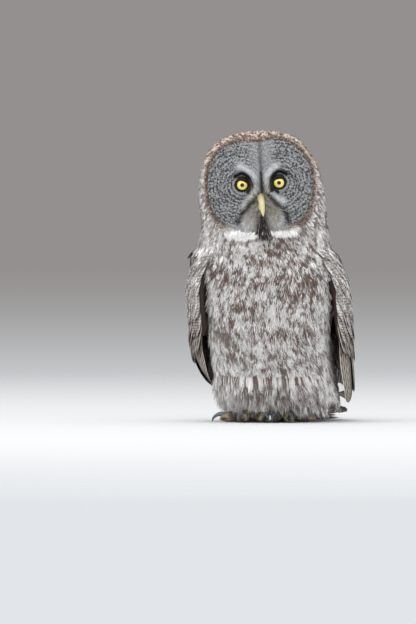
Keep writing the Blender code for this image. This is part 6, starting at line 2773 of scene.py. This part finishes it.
def main() -> None:
    """Builds the owl's pieces in order and the studio around them."""
    logging.basicConfig(level=logging.INFO, format="%(message)s")
    body = BodyShape()
    markings = Markings(body)
    wings = {side: WingShape(side) for side in Side}
    feet = {side: Foot(side, markings) for side in Side}
    soft = PlumageFinish("soft_plumage").make()
    covert = PlumageFinish("covert_plumage", period=4.4, wander=4.4, grain=0.8, streak=0.2).make()
    toe_finish = PlumageFinish(
        "toe_plumage", pale=rgb(190, 180, 166), white=rgb(232, 222, 186), cool=rgb(84, 74, 66), warm=rgb(104, 88, 74)
    ).make()
    crown_finish = PlumageFinish(
        "crown_plumage", pale=rgb(218, 206, 196), white=rgb(250, 244, 236), cool=rgb(52, 42, 38), warm=rgb(134, 104, 88)
    ).make()
    bow_finish = PlumageFinish(
        "bow_tie_plumage", pale=rgb(206, 206, 206), white=rgb(255, 255, 255), cool=rgb(22, 20, 20), grain=0.4
    ).make()
    bristle_finish = PlumageFinish(
        "bristle_plumage", pale=rgb(170, 166, 158), white=rgb(236, 237, 236), cool=rgb(34, 31, 29), warm=rgb(86, 77, 64)
    ).make()
    disc_finish = DiscFinish("disc_plumage").make()
    flight = FlightFinish("flight_plumage").make()
    # The bill's root colour, darker than its middle and tip, is painted shade at the bill's base.
    bill_finish = HornFinish("bill_horn", rgb(128, 118, 84), rgb(214, 203, 146), rgb(232, 222, 176)).make()
    claw_finish = HornFinish("claw_horn", rgb(150, 158, 166), rgb(104, 113, 124), rgb(34, 36, 42), 0.3).make()
    eye_finish = EyeFinish("wet_eye").make()
    lid_finish = SkinFinish("lid_skin", dark=rgb(16, 15, 15)).make()
    skin_finish = SkinFinish("coat_ground").make()
    limbs = [(TubeShape(RUMP), 6.0)]
    for foot in feet.values():
        limbs.append((foot.leg, 4.0))
        limbs += [(toe, 2.2) for toe in foot.toes]
    skin = Skin(body, markings, wings, tuple(limbs))
    names = ["head", "neck", "breast", "back", "belly", "rump"]
    names += [f"{part}_{side.word}" for part in ("leg", "foot") for side in Side]
    skin.make(skin_finish, *names)

    def covered(points: Array, normals: Array) -> Array:
        hidden = np.zeros(len(points), dtype=bool)
        for wing in wings.values():
            hidden |= wing.covers(points, normals)
        return hidden

    coat = BodyCoat(body, markings, covered)
    for index, patch in enumerate(PATCHES):
        coat.grow(patch, index, crown_finish if patch.slot is Slot.CROWN else soft)
    coat.fringe(soft)
    coat.scapulars(soft)
    disc = FacialDisc(body, markings)
    disc.feathers(disc_finish)
    disc.ruff(crown_finish)
    disc.bow_tie(bow_finish)
    disc.bristles(bristle_finish)
    for side in Side:
        eye = Eye(side)
        eye.ball(eye_finish)
        eye.lids(lid_finish)
        feet[side].claws(claw_finish)
        feet[side].coat(toe_finish, soft)
        wing = Wing(side, wings[side], markings)
        wing.make(flight, covert)
        wing.shoulder(body, soft)
    Bill().make(bill_finish)
    tail = Tail(markings)
    tail.feathers(flight)
    tail.coverts(soft)
    tail.underside(soft)
    Studio().make()


if __name__ == "__main__":
    main()
